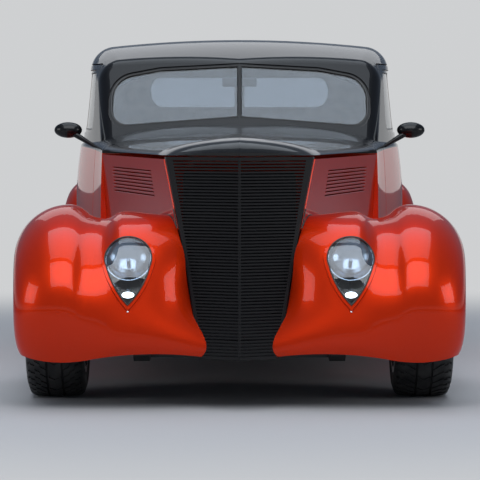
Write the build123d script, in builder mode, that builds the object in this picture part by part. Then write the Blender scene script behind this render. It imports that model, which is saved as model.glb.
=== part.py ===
from build123d import *
import os
from math import acos, cos, degrees, radians, sin, tan

# A lowered two-door street rod with a slant back, in millimetres.
# +Z is up, the nose points along -Y, and the origin is on the ground under the middle of the car.
# The car's own left side is +X.

# Driving dimensions
LENGTH = 4276
FRONT_AXLE_Y = -1500
REAR_AXLE_Y = 1345
COWL_Y = -500
COWL_TOP_Z = 960
SILL_Z = 215
MID_Z = 530
FRONT_TYRE_R = 315
REAR_TYRE_R = 355
FRONT_TYRE_W = 225
REAR_TYRE_W = 265
FRONT_TRACK = 1420
REAR_TRACK = 1430
FRONT_RIM_R = 216
REAR_RIM_R = 241
FRONT_ARCH_R = 358
REAR_ARCH_R = 380
TUB_R = 392
TUB_X = 545
BODY_WALL = 30
FENDER_SKIN = 6
GAP = 6
GLASS = 6
SEAT = 0.4
FLOOR_Z = 244
TUNNEL_R = 165
TUNNEL_Z = 300
LAMP_PROUD = 8
TAIL_Y = LENGTH / 2 - LAMP_PROUD

os.makedirs("parts", exist_ok=True)


def save(part, label):
    """Label one finished piece and write it as its own file."""
    part.label = label
    export_step(part, f"parts/{label}.step")


def mirrored(part):
    """The same piece on the car's other side."""
    return mirror(part, about=Plane.YZ, mode=Mode.PRIVATE)


def both_sides(part, name):
    """Write a piece made on the car's left, and its mirror image on the right."""
    save(part, f"{name}_left")
    save(mirrored(part), f"{name}_right")


# Body volumes

# The lower body, one row per station along the car:
# y, half width at the sill, at mid height and at the belt, height of the belt and of the centre line
LOWER_STATIONS = [
    (-500, 578, 592, 587, 943, 1027),
    (-200, 625, 648, 636, 948, 1072),
    (500, 690, 748, 733, 955, 1060),
    (1250, 655, 712, 690, 900, 1000),
    (1750, 560, 610, 590, 730, 800),
    (LENGTH / 2, 430, 470, 440, 430, 470),
]

# The cabin above the belt: y, half width at the belt, belt height, half width at the roof's side,
# height of the roof's side and of its centre line, radius of the roof's shoulder
UPPER_STATIONS = [
    (-520, 560, 925, 525, 1190, 1250, 90),
    (-120, 636, 940, 596, 1306, 1350, 105),
    (400, 722, 950, 672, 1395, 1440, 115),
    (950, 712, 930, 650, 1364, 1412, 130),
    (1400, 655, 860, 560, 1160, 1245, 150),
    (1750, 580, 720, 470, 890, 975, 120),
    (2050, 470, 540, 380, 600, 640, 50),
]

# The two flat panes of the windshield meet in a prow: middle of the foot, middle of the head, outer foot
WINDSHIELD_FOOT = Vector(0, -372, 1048)
WINDSHIELD_HEAD = Vector(0, -170, 1326)
WINDSHIELD_CORNER = Vector(575, -215, 1048)
PILLAR_ROUND = 70
TAIL_BEVEL = 28


def lower_section(y, sill, mid, belt, belt_z, centre_z, inset):
    """One closed section of the lower body, with an elliptical crown; inset moves its walls inwards."""
    with BuildSketch(Plane.XZ.offset(-y)) as section:
        with BuildLine():
            Line((-sill + inset, SILL_Z), (sill - inset, SILL_Z))
            mid_z = min(MID_Z, (SILL_Z + belt_z) / 2 + 40)
            right = ((sill - inset, SILL_Z), (mid - inset, mid_z), (belt - inset, belt_z))
            ThreePointArc(*right)
            EllipticalCenterArc((0, belt_z), belt - inset, centre_z - belt_z - inset, 0, arc_size=180)
            ThreePointArc(*[(-x, z) for x, z in right])
        make_face()
    return section.sketch


def upper_section(y, belt, belt_z, side, side_z, roof_z, shoulder, inset):
    """One closed section of the cabin above the belt."""
    foot_z = belt_z - 40
    with BuildSketch(Plane.XZ.offset(-y)) as section:
        with BuildLine():
            foot = (belt - inset, foot_z)
            top = (side - inset, side_z - inset)
            Line((-foot[0], foot_z), foot)
            Line(foot, top)
            ThreePointArc(top, (0, roof_z - inset), (-top[0], top[1]))
            Line((-top[0], top[1]), (-foot[0], foot_z))
        make_face()
        shoulders = section.vertices().group_by(Axis.Y)[-1]
        fillet(shoulders, radius=shoulder - inset / 2)
    return section.sketch


def windshield_plane(side, inset):
    """The outer face of one pane, pushed inwards by inset; side is 1 on the left and -1 on the right."""
    corner = Vector(side * WINDSHIELD_CORNER.X, WINDSHIELD_CORNER.Y, WINDSHIELD_CORNER.Z)
    normal = (corner - WINDSHIELD_FOOT).cross(WINDSHIELD_HEAD - WINDSHIELD_FOOT).normalized()
    if normal.Y > 0:
        normal = normal * -1
    return Plane(origin=WINDSHIELD_FOOT - normal * inset, z_dir=normal)


def lower_volume(inset=0):
    """The lower body as a solid, shortened by the inset at the firewall and the tail."""
    with BuildPart() as volume:
        loft([lower_section(*row, inset) for row in LOWER_STATIONS])
        split(bisect_by=Plane.XZ.offset(-COWL_Y - inset), keep=Keep.BOTTOM)
        split(bisect_by=Plane.XZ.offset(-TAIL_Y + inset), keep=Keep.TOP)
        if inset == 0:
            tail = volume.faces().sort_by(Axis.Y)[-1]
            chamfer(tail.edges(), length=TAIL_BEVEL)
    return volume.part


def upper_volume(inset=0):
    """The cabin above the belt as a solid, cut back to the two panes of the windshield."""
    with BuildPart() as volume:
        loft([upper_section(*row, inset) for row in UPPER_STATIONS])
        for side in (1, -1):
            split(bisect_by=windshield_plane(side, inset), keep=Keep.BOTTOM)
        if inset:
            split(bisect_by=Plane.XZ.offset(-UPPER_STATIONS[-1][0] + inset), keep=Keep.TOP)
        else:
            panes = volume.faces().filter_by(GeomType.PLANE).filter_by(lambda face: face.normal_at().Y < -0.3)
            edges = [edge for pane in panes for edge in pane.edges() if edge.center().Z > COWL_TOP_Z]
            fillet([edge for edge in edges if abs(edge.center().X) > 1], radius=PILLAR_ROUND)
    return volume.part


def rounded_sketch(plane, corners, grow):
    """A face on the plane: corners of an outline, each with its own radius, grown all round."""
    with BuildSketch(plane) as outline:
        with BuildLine():
            radii = [radius for _, _, radius in corners]
            FilletPolyline(*[(u, v) for u, v, _ in corners], radius=radii, close=True)
        make_face()
        if grow:
            offset(amount=grow)
    return outline.sketch


def side_prism(corners, grow=0.0):
    """A bar along X through both sides of the body, from an outline of (y, z, radius) corners."""
    with BuildPart() as prism:
        extrude(rounded_sketch(Plane.YZ, corners, grow), amount=950, both=True)
    return prism.part


def end_prism(corners, start_y, end_y, grow=0.0):
    """A bar along Y from start_y to end_y, from an outline of (x, z, radius) corners."""
    with BuildPart() as prism:
        extrude(rounded_sketch(Plane.XZ.offset(-start_y), corners, grow), amount=start_y - end_y)
    return prism.part


def half(part, side=1):
    """The half of a part on one side of the car."""
    return split(part, bisect_by=Plane.YZ, keep=Keep.TOP if side > 0 else Keep.BOTTOM, mode=Mode.PRIVATE)


def wheel_bar(axle_y, axle_z, radius, inner_x):
    """A bar along X round a wheel, from inner_x outwards on both sides."""
    with BuildPart() as bar:
        for side in (1, -1):
            with Locations(Location((side * (inner_x + 300), axle_y, axle_z), (0, 90, 0))):
                Cylinder(radius, 600)
    return bar.part


# Outlines in the body, as (y, z, radius) or (x, z, radius) corners
DOOR_OUTLINE = [(-240, 262, 60), (690, 262, 60), (690, 1325, 60), (70, 1325, 60), (-240, 990, 60)]
DOOR_GLASS = [(20, 1035, 45), (640, 1035, 45), (640, 1290, 45), (95, 1290, 45)]
QUARTER_GLASS = [(770, 1035, 45), (1230, 1035, 45), (1090, 1285, 60), (770, 1285, 45)]
REAR_PANE = [(20, 1138, 12), (438, 1138, 62), (438, 1282, 62), (20, 1282, 12)]
WINDSHIELD_PANE = [(4, 1090, 3), (562, 1048, 70), (562, 1258, 105), (350, 1297, 300), (4, 1314, 3)]
LID_OUTLINE = [(-400, 505, 70), (400, 505, 70), (330, 945, 70), (-330, 945, 70)]
LID_GAP = GAP + 2
GLASS_DEPTH = 10
REVEAL_DEPTH = 5
REVEAL_WIDTH = 14

cabin_outer = upper_volume()
body_outer = lower_volume() + cabin_outer
body_inner = lower_volume(BODY_WALL) + upper_volume(BODY_WALL)
glass_layer = upper_volume(GLASS_DEPTH) - upper_volume(GLASS_DEPTH + GLASS)
reveal_layer = cabin_outer - upper_volume(REVEAL_DEPTH)

door_hole = side_prism(DOOR_OUTLINE, GAP)
door_panel = side_prism(DOOR_OUTLINE)
door_glass_hole = side_prism(DOOR_GLASS)
quarter_hole = side_prism(QUARTER_GLASS)
lid_hole = end_prism(LID_OUTLINE, 1500, 2300, LID_GAP)
lid_panel = end_prism(LID_OUTLINE, 1500, 2300)
rear_panes = end_prism(REAR_PANE, 1150, 1700)
rear_panes += mirrored(rear_panes)
front_panes = end_prism(WINDSHIELD_PANE, -600, -60)
front_panes += mirrored(front_panes)
rear_wheel_room = wheel_bar(REAR_AXLE_Y, REAR_TYRE_R, TUB_R + SEAT, TUB_X - SEAT)

# A shallow step in the skin round each window
front_reveal = end_prism(WINDSHIELD_PANE, -600, -60, REVEAL_WIDTH)
rear_reveal = end_prism(REAR_PANE, 1150, 1700, REVEAL_WIDTH)
reveals = [
    side_prism(DOOR_GLASS, REVEAL_WIDTH),
    side_prism(QUARTER_GLASS, REVEAL_WIDTH),
    front_reveal + mirrored(front_reveal),
    rear_reveal + mirrored(rear_reveal),
]
body_skin = body_outer - [body_inner, *[reveal_layer & reveal for reveal in reveals]]

gearbox_hole = Pos(0, COWL_Y, TUNNEL_Z) * Rot(90, 0, 0) * Cylinder(TUNNEL_R, 2 * BODY_WALL + 20)
frame_hole = Pos(0, COWL_Y, SILL_Z) * Box(840, 2 * BODY_WALL + 20, 2 * (FLOOR_Z - SILL_Z) + 4)
openings = [door_hole, quarter_hole, lid_hole, rear_panes, front_panes, rear_wheel_room]
body_shell = body_skin - [*openings, gearbox_hole, frame_hole]
save(body_shell, "body_shell")
door = half(body_skin & door_panel) - door_glass_hole
both_sides(door, "door")
both_sides(half(glass_layer & door_glass_hole), "door_glass")
save(body_skin & lid_panel, "trunk_lid")
save(glass_layer & front_panes, "windshield")
save(glass_layer & (quarter_hole + rear_panes), "rear_windows")

# Nose volume between the fenders: y, half width at the foot, half width and height of the hood's split
# line, height of the hood's centre line
NOSE_STATIONS = [
    (-2150, 140, 212, 930, 985),
    (-1845, 180, 281, 934, 1014),
    (-1200, 330, 428, 938, 1022),
    (-500, 540, 587, 943, 1027),
]
NOSE_FOOT_Z = 192
GRILLE_TOP_Z = 941
GRILLE_FOOT = Vector(0, -2137, NOSE_FOOT_Z)
GRILLE_HEAD = Vector(0, -1985, GRILLE_TOP_Z)
GRILLE_CORNER = Vector(268, -1845, GRILLE_TOP_Z)
HOOD_SKIN = 10
HOOD_END_Y = COWL_Y - GAP


def grille_plane(side, inset):
    """The outer face of one half of the V grille, pushed inwards by inset."""
    corner = Vector(side * GRILLE_CORNER.X, GRILLE_CORNER.Y, GRILLE_CORNER.Z)
    normal = (corner - GRILLE_HEAD).cross(GRILLE_HEAD - GRILLE_FOOT).normalized()
    if normal.Y > 0:
        normal = normal * -1
    return Plane(origin=GRILLE_FOOT - normal * inset, z_dir=normal)


def nose_section(y, foot, split_x, split_z, top_z, inset):
    """One section of the nose: slanted sides up to the hood's split line and an elliptical crown."""
    with BuildSketch(Plane.XZ.offset(-y)) as section:
        with BuildLine():
            Line((-foot + inset, NOSE_FOOT_Z), (foot - inset, NOSE_FOOT_Z))
            Line((foot - inset, NOSE_FOOT_Z), (split_x - inset, split_z))
            EllipticalCenterArc((0, split_z), split_x - inset, top_z - split_z - inset, 0, arc_size=180)
            Line((-split_x + inset, split_z), (-foot + inset, NOSE_FOOT_Z))
        make_face()
    return section.sketch


def nose_volume(inset=0.0, front=0.0, end_y=HOOD_END_Y):
    """The nose as a solid, cut to the V of the grille pushed back by front."""
    with BuildPart() as volume:
        loft([nose_section(*row, inset) for row in NOSE_STATIONS])
        for side in (1, -1):
            split(bisect_by=grille_plane(side, front), keep=Keep.BOTTOM)
        split(bisect_by=Plane.XZ.offset(-end_y), keep=Keep.TOP)
    return volume.part


def slab(z_low, z_high):
    """Everything between two heights."""
    with BuildPart() as block:
        with Locations((0, 0, (z_low + z_high) / 2)):
            Box(2400, 4600, z_high - z_low)
    return block.part


# Grille: two faces of thin bars that meet at a seam in the middle, between rails at their edges
GRILLE_DEPTH = 20
BAR_COUNT = 62
BAR_SLOT = 5.5
RAIL = 9
GRILLE_FOOT_HALF = 146
GRILLE_INSET = 3
grille_depth = nose_volume(GRILLE_INSET, 0) - nose_volume(0, GRILLE_DEPTH)
grille_half = half(grille_depth & slab(NOSE_FOOT_Z, GRILLE_TOP_Z))
bar_pitch = (GRILLE_TOP_Z - NOSE_FOOT_Z - 2 * RAIL) / BAR_COUNT
bar_gaps = [Pos(0, GRILLE_FOOT.Y, GRILLE_TOP_Z / 2) * Box(SEAT, 900, 2 * GRILLE_TOP_Z)]
for index in range(BAR_COUNT):
    slot_z = NOSE_FOOT_Z + RAIL + bar_pitch * (index + 0.5)
    rise = (slot_z - NOSE_FOOT_Z) / (GRILLE_TOP_Z - NOSE_FOOT_Z)
    width = GRILLE_FOOT_HALF + (GRILLE_CORNER.X - GRILLE_FOOT_HALF) * rise - 2 * RAIL
    bar_gaps.append(Pos(RAIL / 2 + width / 2, GRILLE_HEAD.Y, slot_z) * Box(width, 500, BAR_SLOT))
grille_half = grille_half - bar_gaps
save(grille_half + mirrored(grille_half), "grille")

# Hood top: sections that follow the V of the grille, rolled over at the front edge, and turn square at the
# cowl. Columns: y in the middle, turn in plan in degrees, height of the split line and of the middle, crease
ROLL_DEPTH = 147
ROLL_RISE = 73
V_TURN = 27.6
HOOD_CREASE = 0.3
ROLL_ANGLES = (15, 40, 65, 90)
ROLL_ROWS = len(ROLL_ANGLES)
HOOD_ROWS = [
    *[
        (
            GRILLE_HEAD.Y + ROLL_DEPTH * (1 - cos(radians(angle))),
            V_TURN,
            934,
            GRILLE_TOP_Z + ROLL_RISE * sin(radians(angle)),
            HOOD_CREASE,
        )
        for angle in ROLL_ANGLES
    ],
    (-1300, 14, 938, 1021, HOOD_CREASE),
    (HOOD_END_Y, 0, 943, 1027, 0),
]
SPLIT_HALF = 587
SPLIT_SLOPE = 0.2275


def hood_section(y, turn, split_z, top_z, crease, inset):
    """The left half of one section: up from the split line, over to the crease in the middle."""
    side_x = (SPLIT_HALF + SPLIT_SLOPE * (y - COWL_Y)) / (1 - SPLIT_SLOPE * tan(radians(turn)))
    width = side_x / cos(radians(turn)) - inset
    shift = crease * width
    sweep_angle = acos(shift / (width + shift))
    rise = (top_z - inset - split_z) / sin(sweep_angle)
    plane = Plane(origin=(0, y + 1.2 * inset, 0), x_dir=(cos(radians(turn)), sin(radians(turn)), 0),
                  z_dir=(sin(radians(turn)), -cos(radians(turn)), 0))
    with BuildSketch(plane) as section:
        with BuildLine():
            Line((0, split_z), (width, split_z))
            EllipticalCenterArc((-shift, split_z), width + shift, rise, 0, arc_size=degrees(sweep_angle))
            Line((0, top_z - inset), (0, split_z))
        make_face()
    return section.sketch


def hood_volume(inset=0.0):
    """The left half of the hood as a solid: the rolled front, then the long top."""
    sections = [hood_section(*row, inset) for row in HOOD_ROWS]
    with BuildPart() as volume:
        loft(sections[:ROLL_ROWS])
        loft(sections[ROLL_ROWS - 1:])
    return volume.part


hood_half = (hood_volume() - hood_volume(HOOD_SKIN)) & slab(GRILLE_TOP_Z + GAP, 1200)
hood_top = hood_half + mirrored(hood_half)
save(hood_top, "hood_top")


# Fenders

# Front fender, one row per section from under the nose, over the wheel, to the running board.
# Each section stands on a line along X at height of the front axle: y of that line, its tilt in degrees
# (0 lies forward, 90 stands up), then (x, distance from the line) of the skirt's lip, the widest point,
# the crown, the valley, the ridge of the lamp pod and the inner edge
FRONT_FENDER = [
    (FRONT_AXLE_Y, -14, (812, 340), (822, 470), (650, 592), (560, 594), (430, 591), (125, 556)),
    (FRONT_AXLE_Y, 5, (842, 340), (848, 490), (655, 630), (555, 620), (430, 611), (153, 486)),
    (FRONT_AXLE_Y, 24, (848, 320), (854, 440), (660, 610), (548, 578), (426, 600), (179, 484)),
    (FRONT_AXLE_Y, 36, (852, 300), (859, 385), (663, 564), (540, 530), (430, 579), (196, 518)),
    (FRONT_AXLE_Y, 50, (858, 260), (863, 325), (666, 507), (535, 474), (436, 518), (240, 510)),
    (FRONT_AXLE_Y, 70, (864, 160), (868, 265), (668, 453), (530, 408), (438, 440), (275, 409)),
    (FRONT_AXLE_Y, 90, (866, 90), (870, 240), (668, 435), (530, 380), (440, 403), (310, 384)),
    (-1300, 90, (864, 10), (868, 200), (670, 402), (540, 350), (455, 373), (360, 362)),
    (-1100, 90, (858, -80), (862, 100), (680, 272), (570, 262), (505, 290), (415, 335)),
    (-920, 90, (848, -108), (852, -40), (695, 70), (610, 60), (560, 85), (425, 190)),
    (-780, 90, (836, -108), (840, -96), (720, -62), (660, -66), (620, -58), (450, 40)),
]

# Rear fender, the same columns; the line lies at the height of the rear axle
REAR_FENDER = [
    (690, 90, (830, -148), (836, -138), (760, -104), (700, -100), (680, -104), (640, -100)),
    (860, 90, (850, -148), (858, -20), (765, 125), (710, 122), (680, 130), (620, 132)),
    (1060, 90, (862, -148), (872, 130), (760, 352), (705, 346), (675, 358), (610, 362)),
    (1345, 90, (868, -148), (878, 190), (750, 425), (690, 416), (655, 430), (590, 435)),
    (1640, 90, (856, -148), (868, 130), (730, 360), (660, 352), (620, 366), (550, 372)),
    (1890, 90, (816, -148), (828, 20), (685, 190), (610, 184), (570, 196), (500, 202)),
    (2060, 90, (740, -140), (752, -80), (620, 30), (550, 26), (510, 34), (440, 38)),
]


def section_plane(y, tilt, height):
    """Plane through a line along X; its own y axis leans forward by 90 degrees less the tilt."""
    angle = radians(tilt)
    return Plane(origin=(0, y, height), x_dir=(1, 0, 0), z_dir=(0, -sin(angle), -cos(angle)))


def wave(start, end):
    """An S of two arcs between points where the curve runs level."""
    middle = ((start[0] + end[0]) / 2, (start[1] + end[1]) / 2)
    TangentArc(start, middle, tangent=(-1, 0))
    TangentArc(end, middle, tangent=(1, 0))


def fender_line(lip, side, crown, valley, ridge, inner):
    """The fender's skin from the lip of the skirt to its inner edge."""
    Line(lip, side)
    centre = (crown[0], side[1])
    EllipticalCenterArc(centre, side[0] - crown[0], crown[1] - side[1], 0, arc_size=90)
    wave(crown, valley)
    wave(valley, ridge)
    TangentArc(ridge, inner, tangent=(-1, 0))


def fender_skin(rows, axle_z):
    """The sheet of a fender, lofted through its sections."""
    sections = []
    for y, tilt, lip, side, *top in rows:
        lip_in = (lip[0] - FENDER_SKIN, lip[1])
        side_in = (side[0] - FENDER_SKIN, side[1])
        top_in = [(x, h - FENDER_SKIN) for x, h in top]
        with BuildSketch(section_plane(y, tilt, axle_z)) as section:
            with BuildLine():
                fender_line(lip, side, *top)
                Line(top[-1], top_in[-1])
                fender_line(lip_in, side_in, *top_in)
                Line(lip_in, lip)
            make_face()
        sections.append(section.sketch)
    with BuildPart() as skin:
        loft(sections)
    return skin.part


def fender_block(rows, axle_z, grow=SEAT):
    """The fender filled down to the ends of its sections and raised a little, to cut what meets it."""
    sections = []
    for y, tilt, lip, side, *top in rows:
        top = [(x, h + grow) for x, h in top]
        with BuildSketch(section_plane(y, tilt, axle_z)) as section:
            with BuildLine():
                fender_line(lip, side, *top)
                Line(top[-1], (top[-1][0], -150))
                Line((top[-1][0], -150), (lip[0], -150))
                Line((lip[0], -150), lip)
            make_face()
        sections.append(section.sketch)
    with BuildPart() as block:
        loft(sections)
    return block.part


front_wheel_room = wheel_bar(FRONT_AXLE_Y, FRONT_TYRE_R, FRONT_ARCH_R, 560)
nose_core = nose_volume(-SEAT, 0, COWL_Y)
front_fender_block = fender_block(FRONT_FENDER, FRONT_TYRE_R)

# The fender's lower front edge: it rises from the grille to below the lamp and dips again before the corner
with BuildPart() as chin:
    with BuildSketch(Plane.XZ.offset(2200)):
        with BuildLine():
            rise = ThreePointArc((100, 193), (345, 213), (560, 190))
            TangentArc(rise @ 1, (830, 205), tangent=rise % 1)
            Polyline((830, 205), (900, 205), (900, 100), (100, 100), (100, 193))
        make_face()
    extrude(amount=-350)

# Headlight: centre of the round part of the lens, its radius, the foot of the drop below the centre
LAMP_CENTRE = (415, -2030, 565)
LAMP_TILT = 27
LAMP_R = 88
LAMP_FOOT = -188
LAMP_SHOULDER = 22
LAMP_RIM = 13
LAMP_DEPTH = 62
RIM_PROUD = 7
LENS_PROUD = 9
LENS_THICK = 4
LAMP_PLANE = Plane(
    origin=LAMP_CENTRE,
    x_dir=(1, 0, 0),
    z_dir=(0, -cos(radians(LAMP_TILT)), sin(radians(LAMP_TILT))),
)


def lamp_outline(grow=0.0):
    """The lens outline: a circle drawn down to a foot, in the plane of the lens."""
    foot = (0, LAMP_FOOT - grow * 1.4)
    radius = LAMP_R + grow
    with BuildSketch(Plane.XY, mode=Mode.PRIVATE) as outline:
        with BuildLine():
            side = (radius * cos(radians(LAMP_SHOULDER)), -radius * sin(radians(LAMP_SHOULDER)))
            ThreePointArc(side, (0, radius), (-side[0], side[1]))
            bulge = (side[0] * 0.62 + 4, (side[1] + foot[1]) / 2)
            ThreePointArc(side, bulge, foot)
            ThreePointArc(foot, (-bulge[0], bulge[1]), (-side[0], side[1]))
        make_face()
    return outline.sketch


def lamp_bar(grow, back, front):
    """The lens outline as a bar through the lens plane."""
    with BuildPart() as bar:
        with BuildSketch(LAMP_PLANE.offset(-back)):
            add(lamp_outline(grow))
        extrude(amount=back + front)
    return bar.part


lamp_hole = lamp_bar(LAMP_RIM + SEAT, 150, 150)
front_fender = fender_skin(FRONT_FENDER, FRONT_TYRE_R) - [front_wheel_room, nose_core, lamp_hole, chin.part]
# The fender's panels are joined again into one skin, the broad ones first
fender_panels = front_fender.faces().sort_by(SortBy.AREA, reverse=True)
front_fender = Part(Solid(Shell(fender_panels)).wrapped)
both_sides(front_fender, "front_fender")

# The lamp: a rim that follows the fender, closed at the back, with a round reflector round its bulb and a
# small oval lamp in the foot. The profile is (radius, depth) about the lamp's axis
BOWL_OUT = [(24, -54), (62, -38), (85.5, -10)]
BOWL_IN = [(82.5, -10), (59, -35), (22, -51)]
BULB_R = 8
BULB_TIP = -16
PARKING_Y = -138
PARKING_SIZE = (23, 13)
with BuildPart() as bowl:
    with BuildSketch(Plane.XZ):
        with BuildLine():
            ThreePointArc(*BOWL_OUT)
            Line(BOWL_OUT[-1], BOWL_IN[0])
            ThreePointArc(*BOWL_IN)
            Polyline(BOWL_IN[-1], (BULB_R, BOWL_IN[-1][1]), (BULB_R, BULB_TIP - BULB_R))
            JernArc((BULB_R, BULB_TIP - BULB_R), (0, 1), BULB_R, 90)
            Polyline((0, BULB_TIP), (0, BOWL_OUT[0][1]), BOWL_OUT[0])
        make_face()
    revolve(axis=Axis.Z)
    with BuildSketch(Plane.XY.offset(BOWL_OUT[0][1])):
        with Locations((0, PARKING_Y)):
            Ellipse(*PARKING_SIZE)
    extrude(amount=30)
lamp_ring = lamp_bar(LAMP_RIM, LAMP_DEPTH, 80) - lamp_bar(0, 100, 100)
lamp_back = lamp_bar(1, LAMP_DEPTH, BOWL_OUT[0][1] + 1)
rim_block = fender_block(FRONT_FENDER, FRONT_TYRE_R, RIM_PROUD)
headlight = (lamp_ring & rim_block) + [lamp_back, LAMP_PLANE.location * bowl.part]
both_sides(headlight, "headlight")
lens_outer = fender_block(FRONT_FENDER, FRONT_TYRE_R, LENS_PROUD)
lens_inner = fender_block(FRONT_FENDER, FRONT_TYRE_R, LENS_PROUD - LENS_THICK)
lens = (lens_outer & lamp_bar(-SEAT, LAMP_DEPTH, 80)) - lens_inner
save(lens + mirrored(lens), "headlight_lenses")

rear_arch = wheel_bar(REAR_AXLE_Y, REAR_TYRE_R, REAR_ARCH_R, 700)
rear_fender = fender_skin(REAR_FENDER, REAR_TYRE_R) - [rear_arch, lower_volume(-SEAT)]
rear_fender = Part(rear_fender.solids().sort_by(SortBy.VOLUME)[-1].wrapped)
both_sides(rear_fender, "rear_fender")

# Hood side panels stand on the fenders, with a row of long louvres
LOUVRE_COUNT = 8
LOUVRE_PITCH = 13.8
LOUVRE_LOW_Z = 785
LOUVRE_SLOT = 6
LOUVRE_START_Y = -1520
LOUVRE_END_Y = -720
louvre_middle = (LOUVRE_START_Y + LOUVRE_END_Y) / 2
louvres = []
for index in range(LOUVRE_COUNT):
    louvre_z = LOUVRE_LOW_Z + LOUVRE_PITCH * index
    louvres.append(Pos(450, louvre_middle, louvre_z) * Box(600, LOUVRE_END_Y - LOUVRE_START_Y, LOUVRE_SLOT))
side_skin = nose_volume(0, GRILLE_DEPTH + 2) - nose_volume(8, 0, 0)
hood_side = half(side_skin & slab(400, GRILLE_TOP_Z - 9)) - [front_fender_block, *louvres]
hood_side = Part(hood_side.solids().sort_by(SortBy.VOLUME)[-1].wrapped)
both_sides(hood_side, "hood_side")


# Floor, tubs over the rear wheels and running boards
FLOOR_THICK = 8
REAR_FLOOR_Z = 517
RISER_Y = 880
SHEET = 6
AXLE_HOLE_R = 70
FLOOR_START_Y = COWL_Y + BODY_WALL
FLOOR_END_Y = TAIL_Y - BODY_WALL

with BuildPart() as floor:
    with BuildSketch(Plane.YZ):
        with BuildLine():
            Polyline(
                (FLOOR_START_Y, FLOOR_Z),
                (RISER_Y, FLOOR_Z),
                (RISER_Y, REAR_FLOOR_Z),
                (FLOOR_END_Y, REAR_FLOOR_Z),
                (FLOOR_END_Y, REAR_FLOOR_Z + FLOOR_THICK),
                (RISER_Y - FLOOR_THICK, REAR_FLOOR_Z + FLOOR_THICK),
                (RISER_Y - FLOOR_THICK, FLOOR_Z + FLOOR_THICK),
                (FLOOR_START_Y, FLOOR_Z + FLOOR_THICK),
                close=True,
            )
        make_face()
    extrude(amount=900, both=True)


def tunnel(radius, end_y=RISER_Y):
    """A bar along the car in the shape of the tunnel over the gearbox."""
    with BuildPart() as bar:
        with BuildSketch(Plane.XZ.offset(-FLOOR_START_Y)):
            with Locations((0, TUNNEL_Z)):
                Circle(radius)
        extrude(amount=FLOOR_START_Y - end_y)
    return bar.part


tub_bar = wheel_bar(REAR_AXLE_Y, REAR_TYRE_R, TUB_R, TUB_X)
tubs = (tub_bar - wheel_bar(REAR_AXLE_Y, REAR_TYRE_R, TUB_R - SHEET, TUB_X + SHEET)) & lower_volume(SEAT)
tunnel_skin = (tunnel(TUNNEL_R) - tunnel(TUNNEL_R - SHEET)) & slab(FLOOR_Z, 900)
tubs = tubs - wheel_bar(REAR_AXLE_Y, REAR_TYRE_R, AXLE_HOLE_R, TUB_X - 10)
floor_sheet = (floor.part & lower_volume(BODY_WALL + SEAT)) - [tub_bar, tunnel(TUNNEL_R, RISER_Y + 5)]
floor_pan = floor_sheet + tunnel_skin + tubs
save(floor_pan, "floor_pan")

BOARD_Z = 217
BOARD_TOP_Z = 245
BOARD_X = (470, 838)
BOARD_Y = (-780, 690)
with BuildPart() as board:
    with BuildSketch(Plane.XY.offset(BOARD_Z)):
        with Locations(((BOARD_X[0] + BOARD_X[1]) / 2, (BOARD_Y[0] + BOARD_Y[1]) / 2)):
            Rectangle(BOARD_X[1] - BOARD_X[0], BOARD_Y[1] - BOARD_Y[0])
    extrude(amount=BOARD_TOP_Z - BOARD_Z)
    fillet(board.edges().filter_by(Axis.Y).sort_by(Axis.X)[-2:], radius=12)
running_board = board.part - [lower_volume(-SEAT), front_fender_block]
running_board = Part(running_board.solids().sort_by(SortBy.VOLUME)[-1].wrapped)
save(running_board + mirrored(running_board), "running_boards")

HITCH_SPACING = (120, 36)
HITCH_HOLE_R = 5.5

# Chassis: side view of a rail, and the crossmembers as (middle y, length, low z, high z)
RAIL_X = (340, 400)
RAIL_SIDE = [
    (-1950, 195), (-1900, 170), (900, 170), (1080, 415), (1640, 415), (1800, 300), (2060, 300),
    (2060, 380), (1860, 380), (1700, 500), (1030, 500), (886, FLOOR_Z), (-1950, FLOOR_Z),
]
CROSSMEMBERS = [(-1765, 70, 175, 240), (-350, 90, 170, 184), (200, 80, 170, 184), (2020, 70, 305, 375)]
with BuildPart() as frame:
    with BuildSketch(Plane.YZ.offset(RAIL_X[0])):
        with BuildLine():
            Polyline(*RAIL_SIDE, close=True)
        make_face()
    extrude(amount=RAIL_X[1] - RAIL_X[0])
    mirror(about=Plane.YZ)
    for middle_y, length, low_z, high_z in CROSSMEMBERS:
        with Locations((0, middle_y, (low_z + high_z) / 2)):
            Box(2 * RAIL_X[0] + 10, length, high_z - low_z)
    with Locations((275, -1280, 268), (-275, -1280, 268)):
        Box(140, 90, 64)
    with Locations((0, -350, 232)):
        Box(70, 60, 94)
    with Locations((0, 2020, 340)):
        with GridLocations(HITCH_SPACING[0], HITCH_SPACING[1], 2, 2):
            Cylinder(HITCH_HOLE_R, 100, mode=Mode.SUBTRACT)
save(frame.part, "chassis_frame")

# Engine, gearbox with its shaft, radiator
ENGINE_SIZE = (410, 640, 500)
ENGINE_MIDDLE = (0, -1080, 520)
DRIVE_Z = REAR_TYRE_R
with BuildPart() as engine:
    with Locations(ENGINE_MIDDLE):
        Box(*ENGINE_SIZE)
    chamfer(engine.edges().filter_by(Axis.Y).group_by(Axis.Z)[-1], length=90)
save(engine.part, "engine_block")

engine_back_y = ENGINE_MIDDLE[1] + ENGINE_SIZE[1] / 2
with BuildPart() as driveline:
    with BuildSketch(Plane.YZ):
        with BuildLine():
            Polyline(
                (engine_back_y, DRIVE_Z),
                (engine_back_y, DRIVE_Z + 85),
                (-560, DRIVE_Z + 85),
                (-300, DRIVE_Z + 70),
                (-60, DRIVE_Z + 48),
                (-60, DRIVE_Z + 34),
                (REAR_AXLE_Y - 160, DRIVE_Z + 34),
                (REAR_AXLE_Y - 160, DRIVE_Z),
                close=True,
            )
        make_face()
    revolve(axis=Axis((0, 0, DRIVE_Z), (0, 1, 0)))
save(driveline.part, "driveline")

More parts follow.
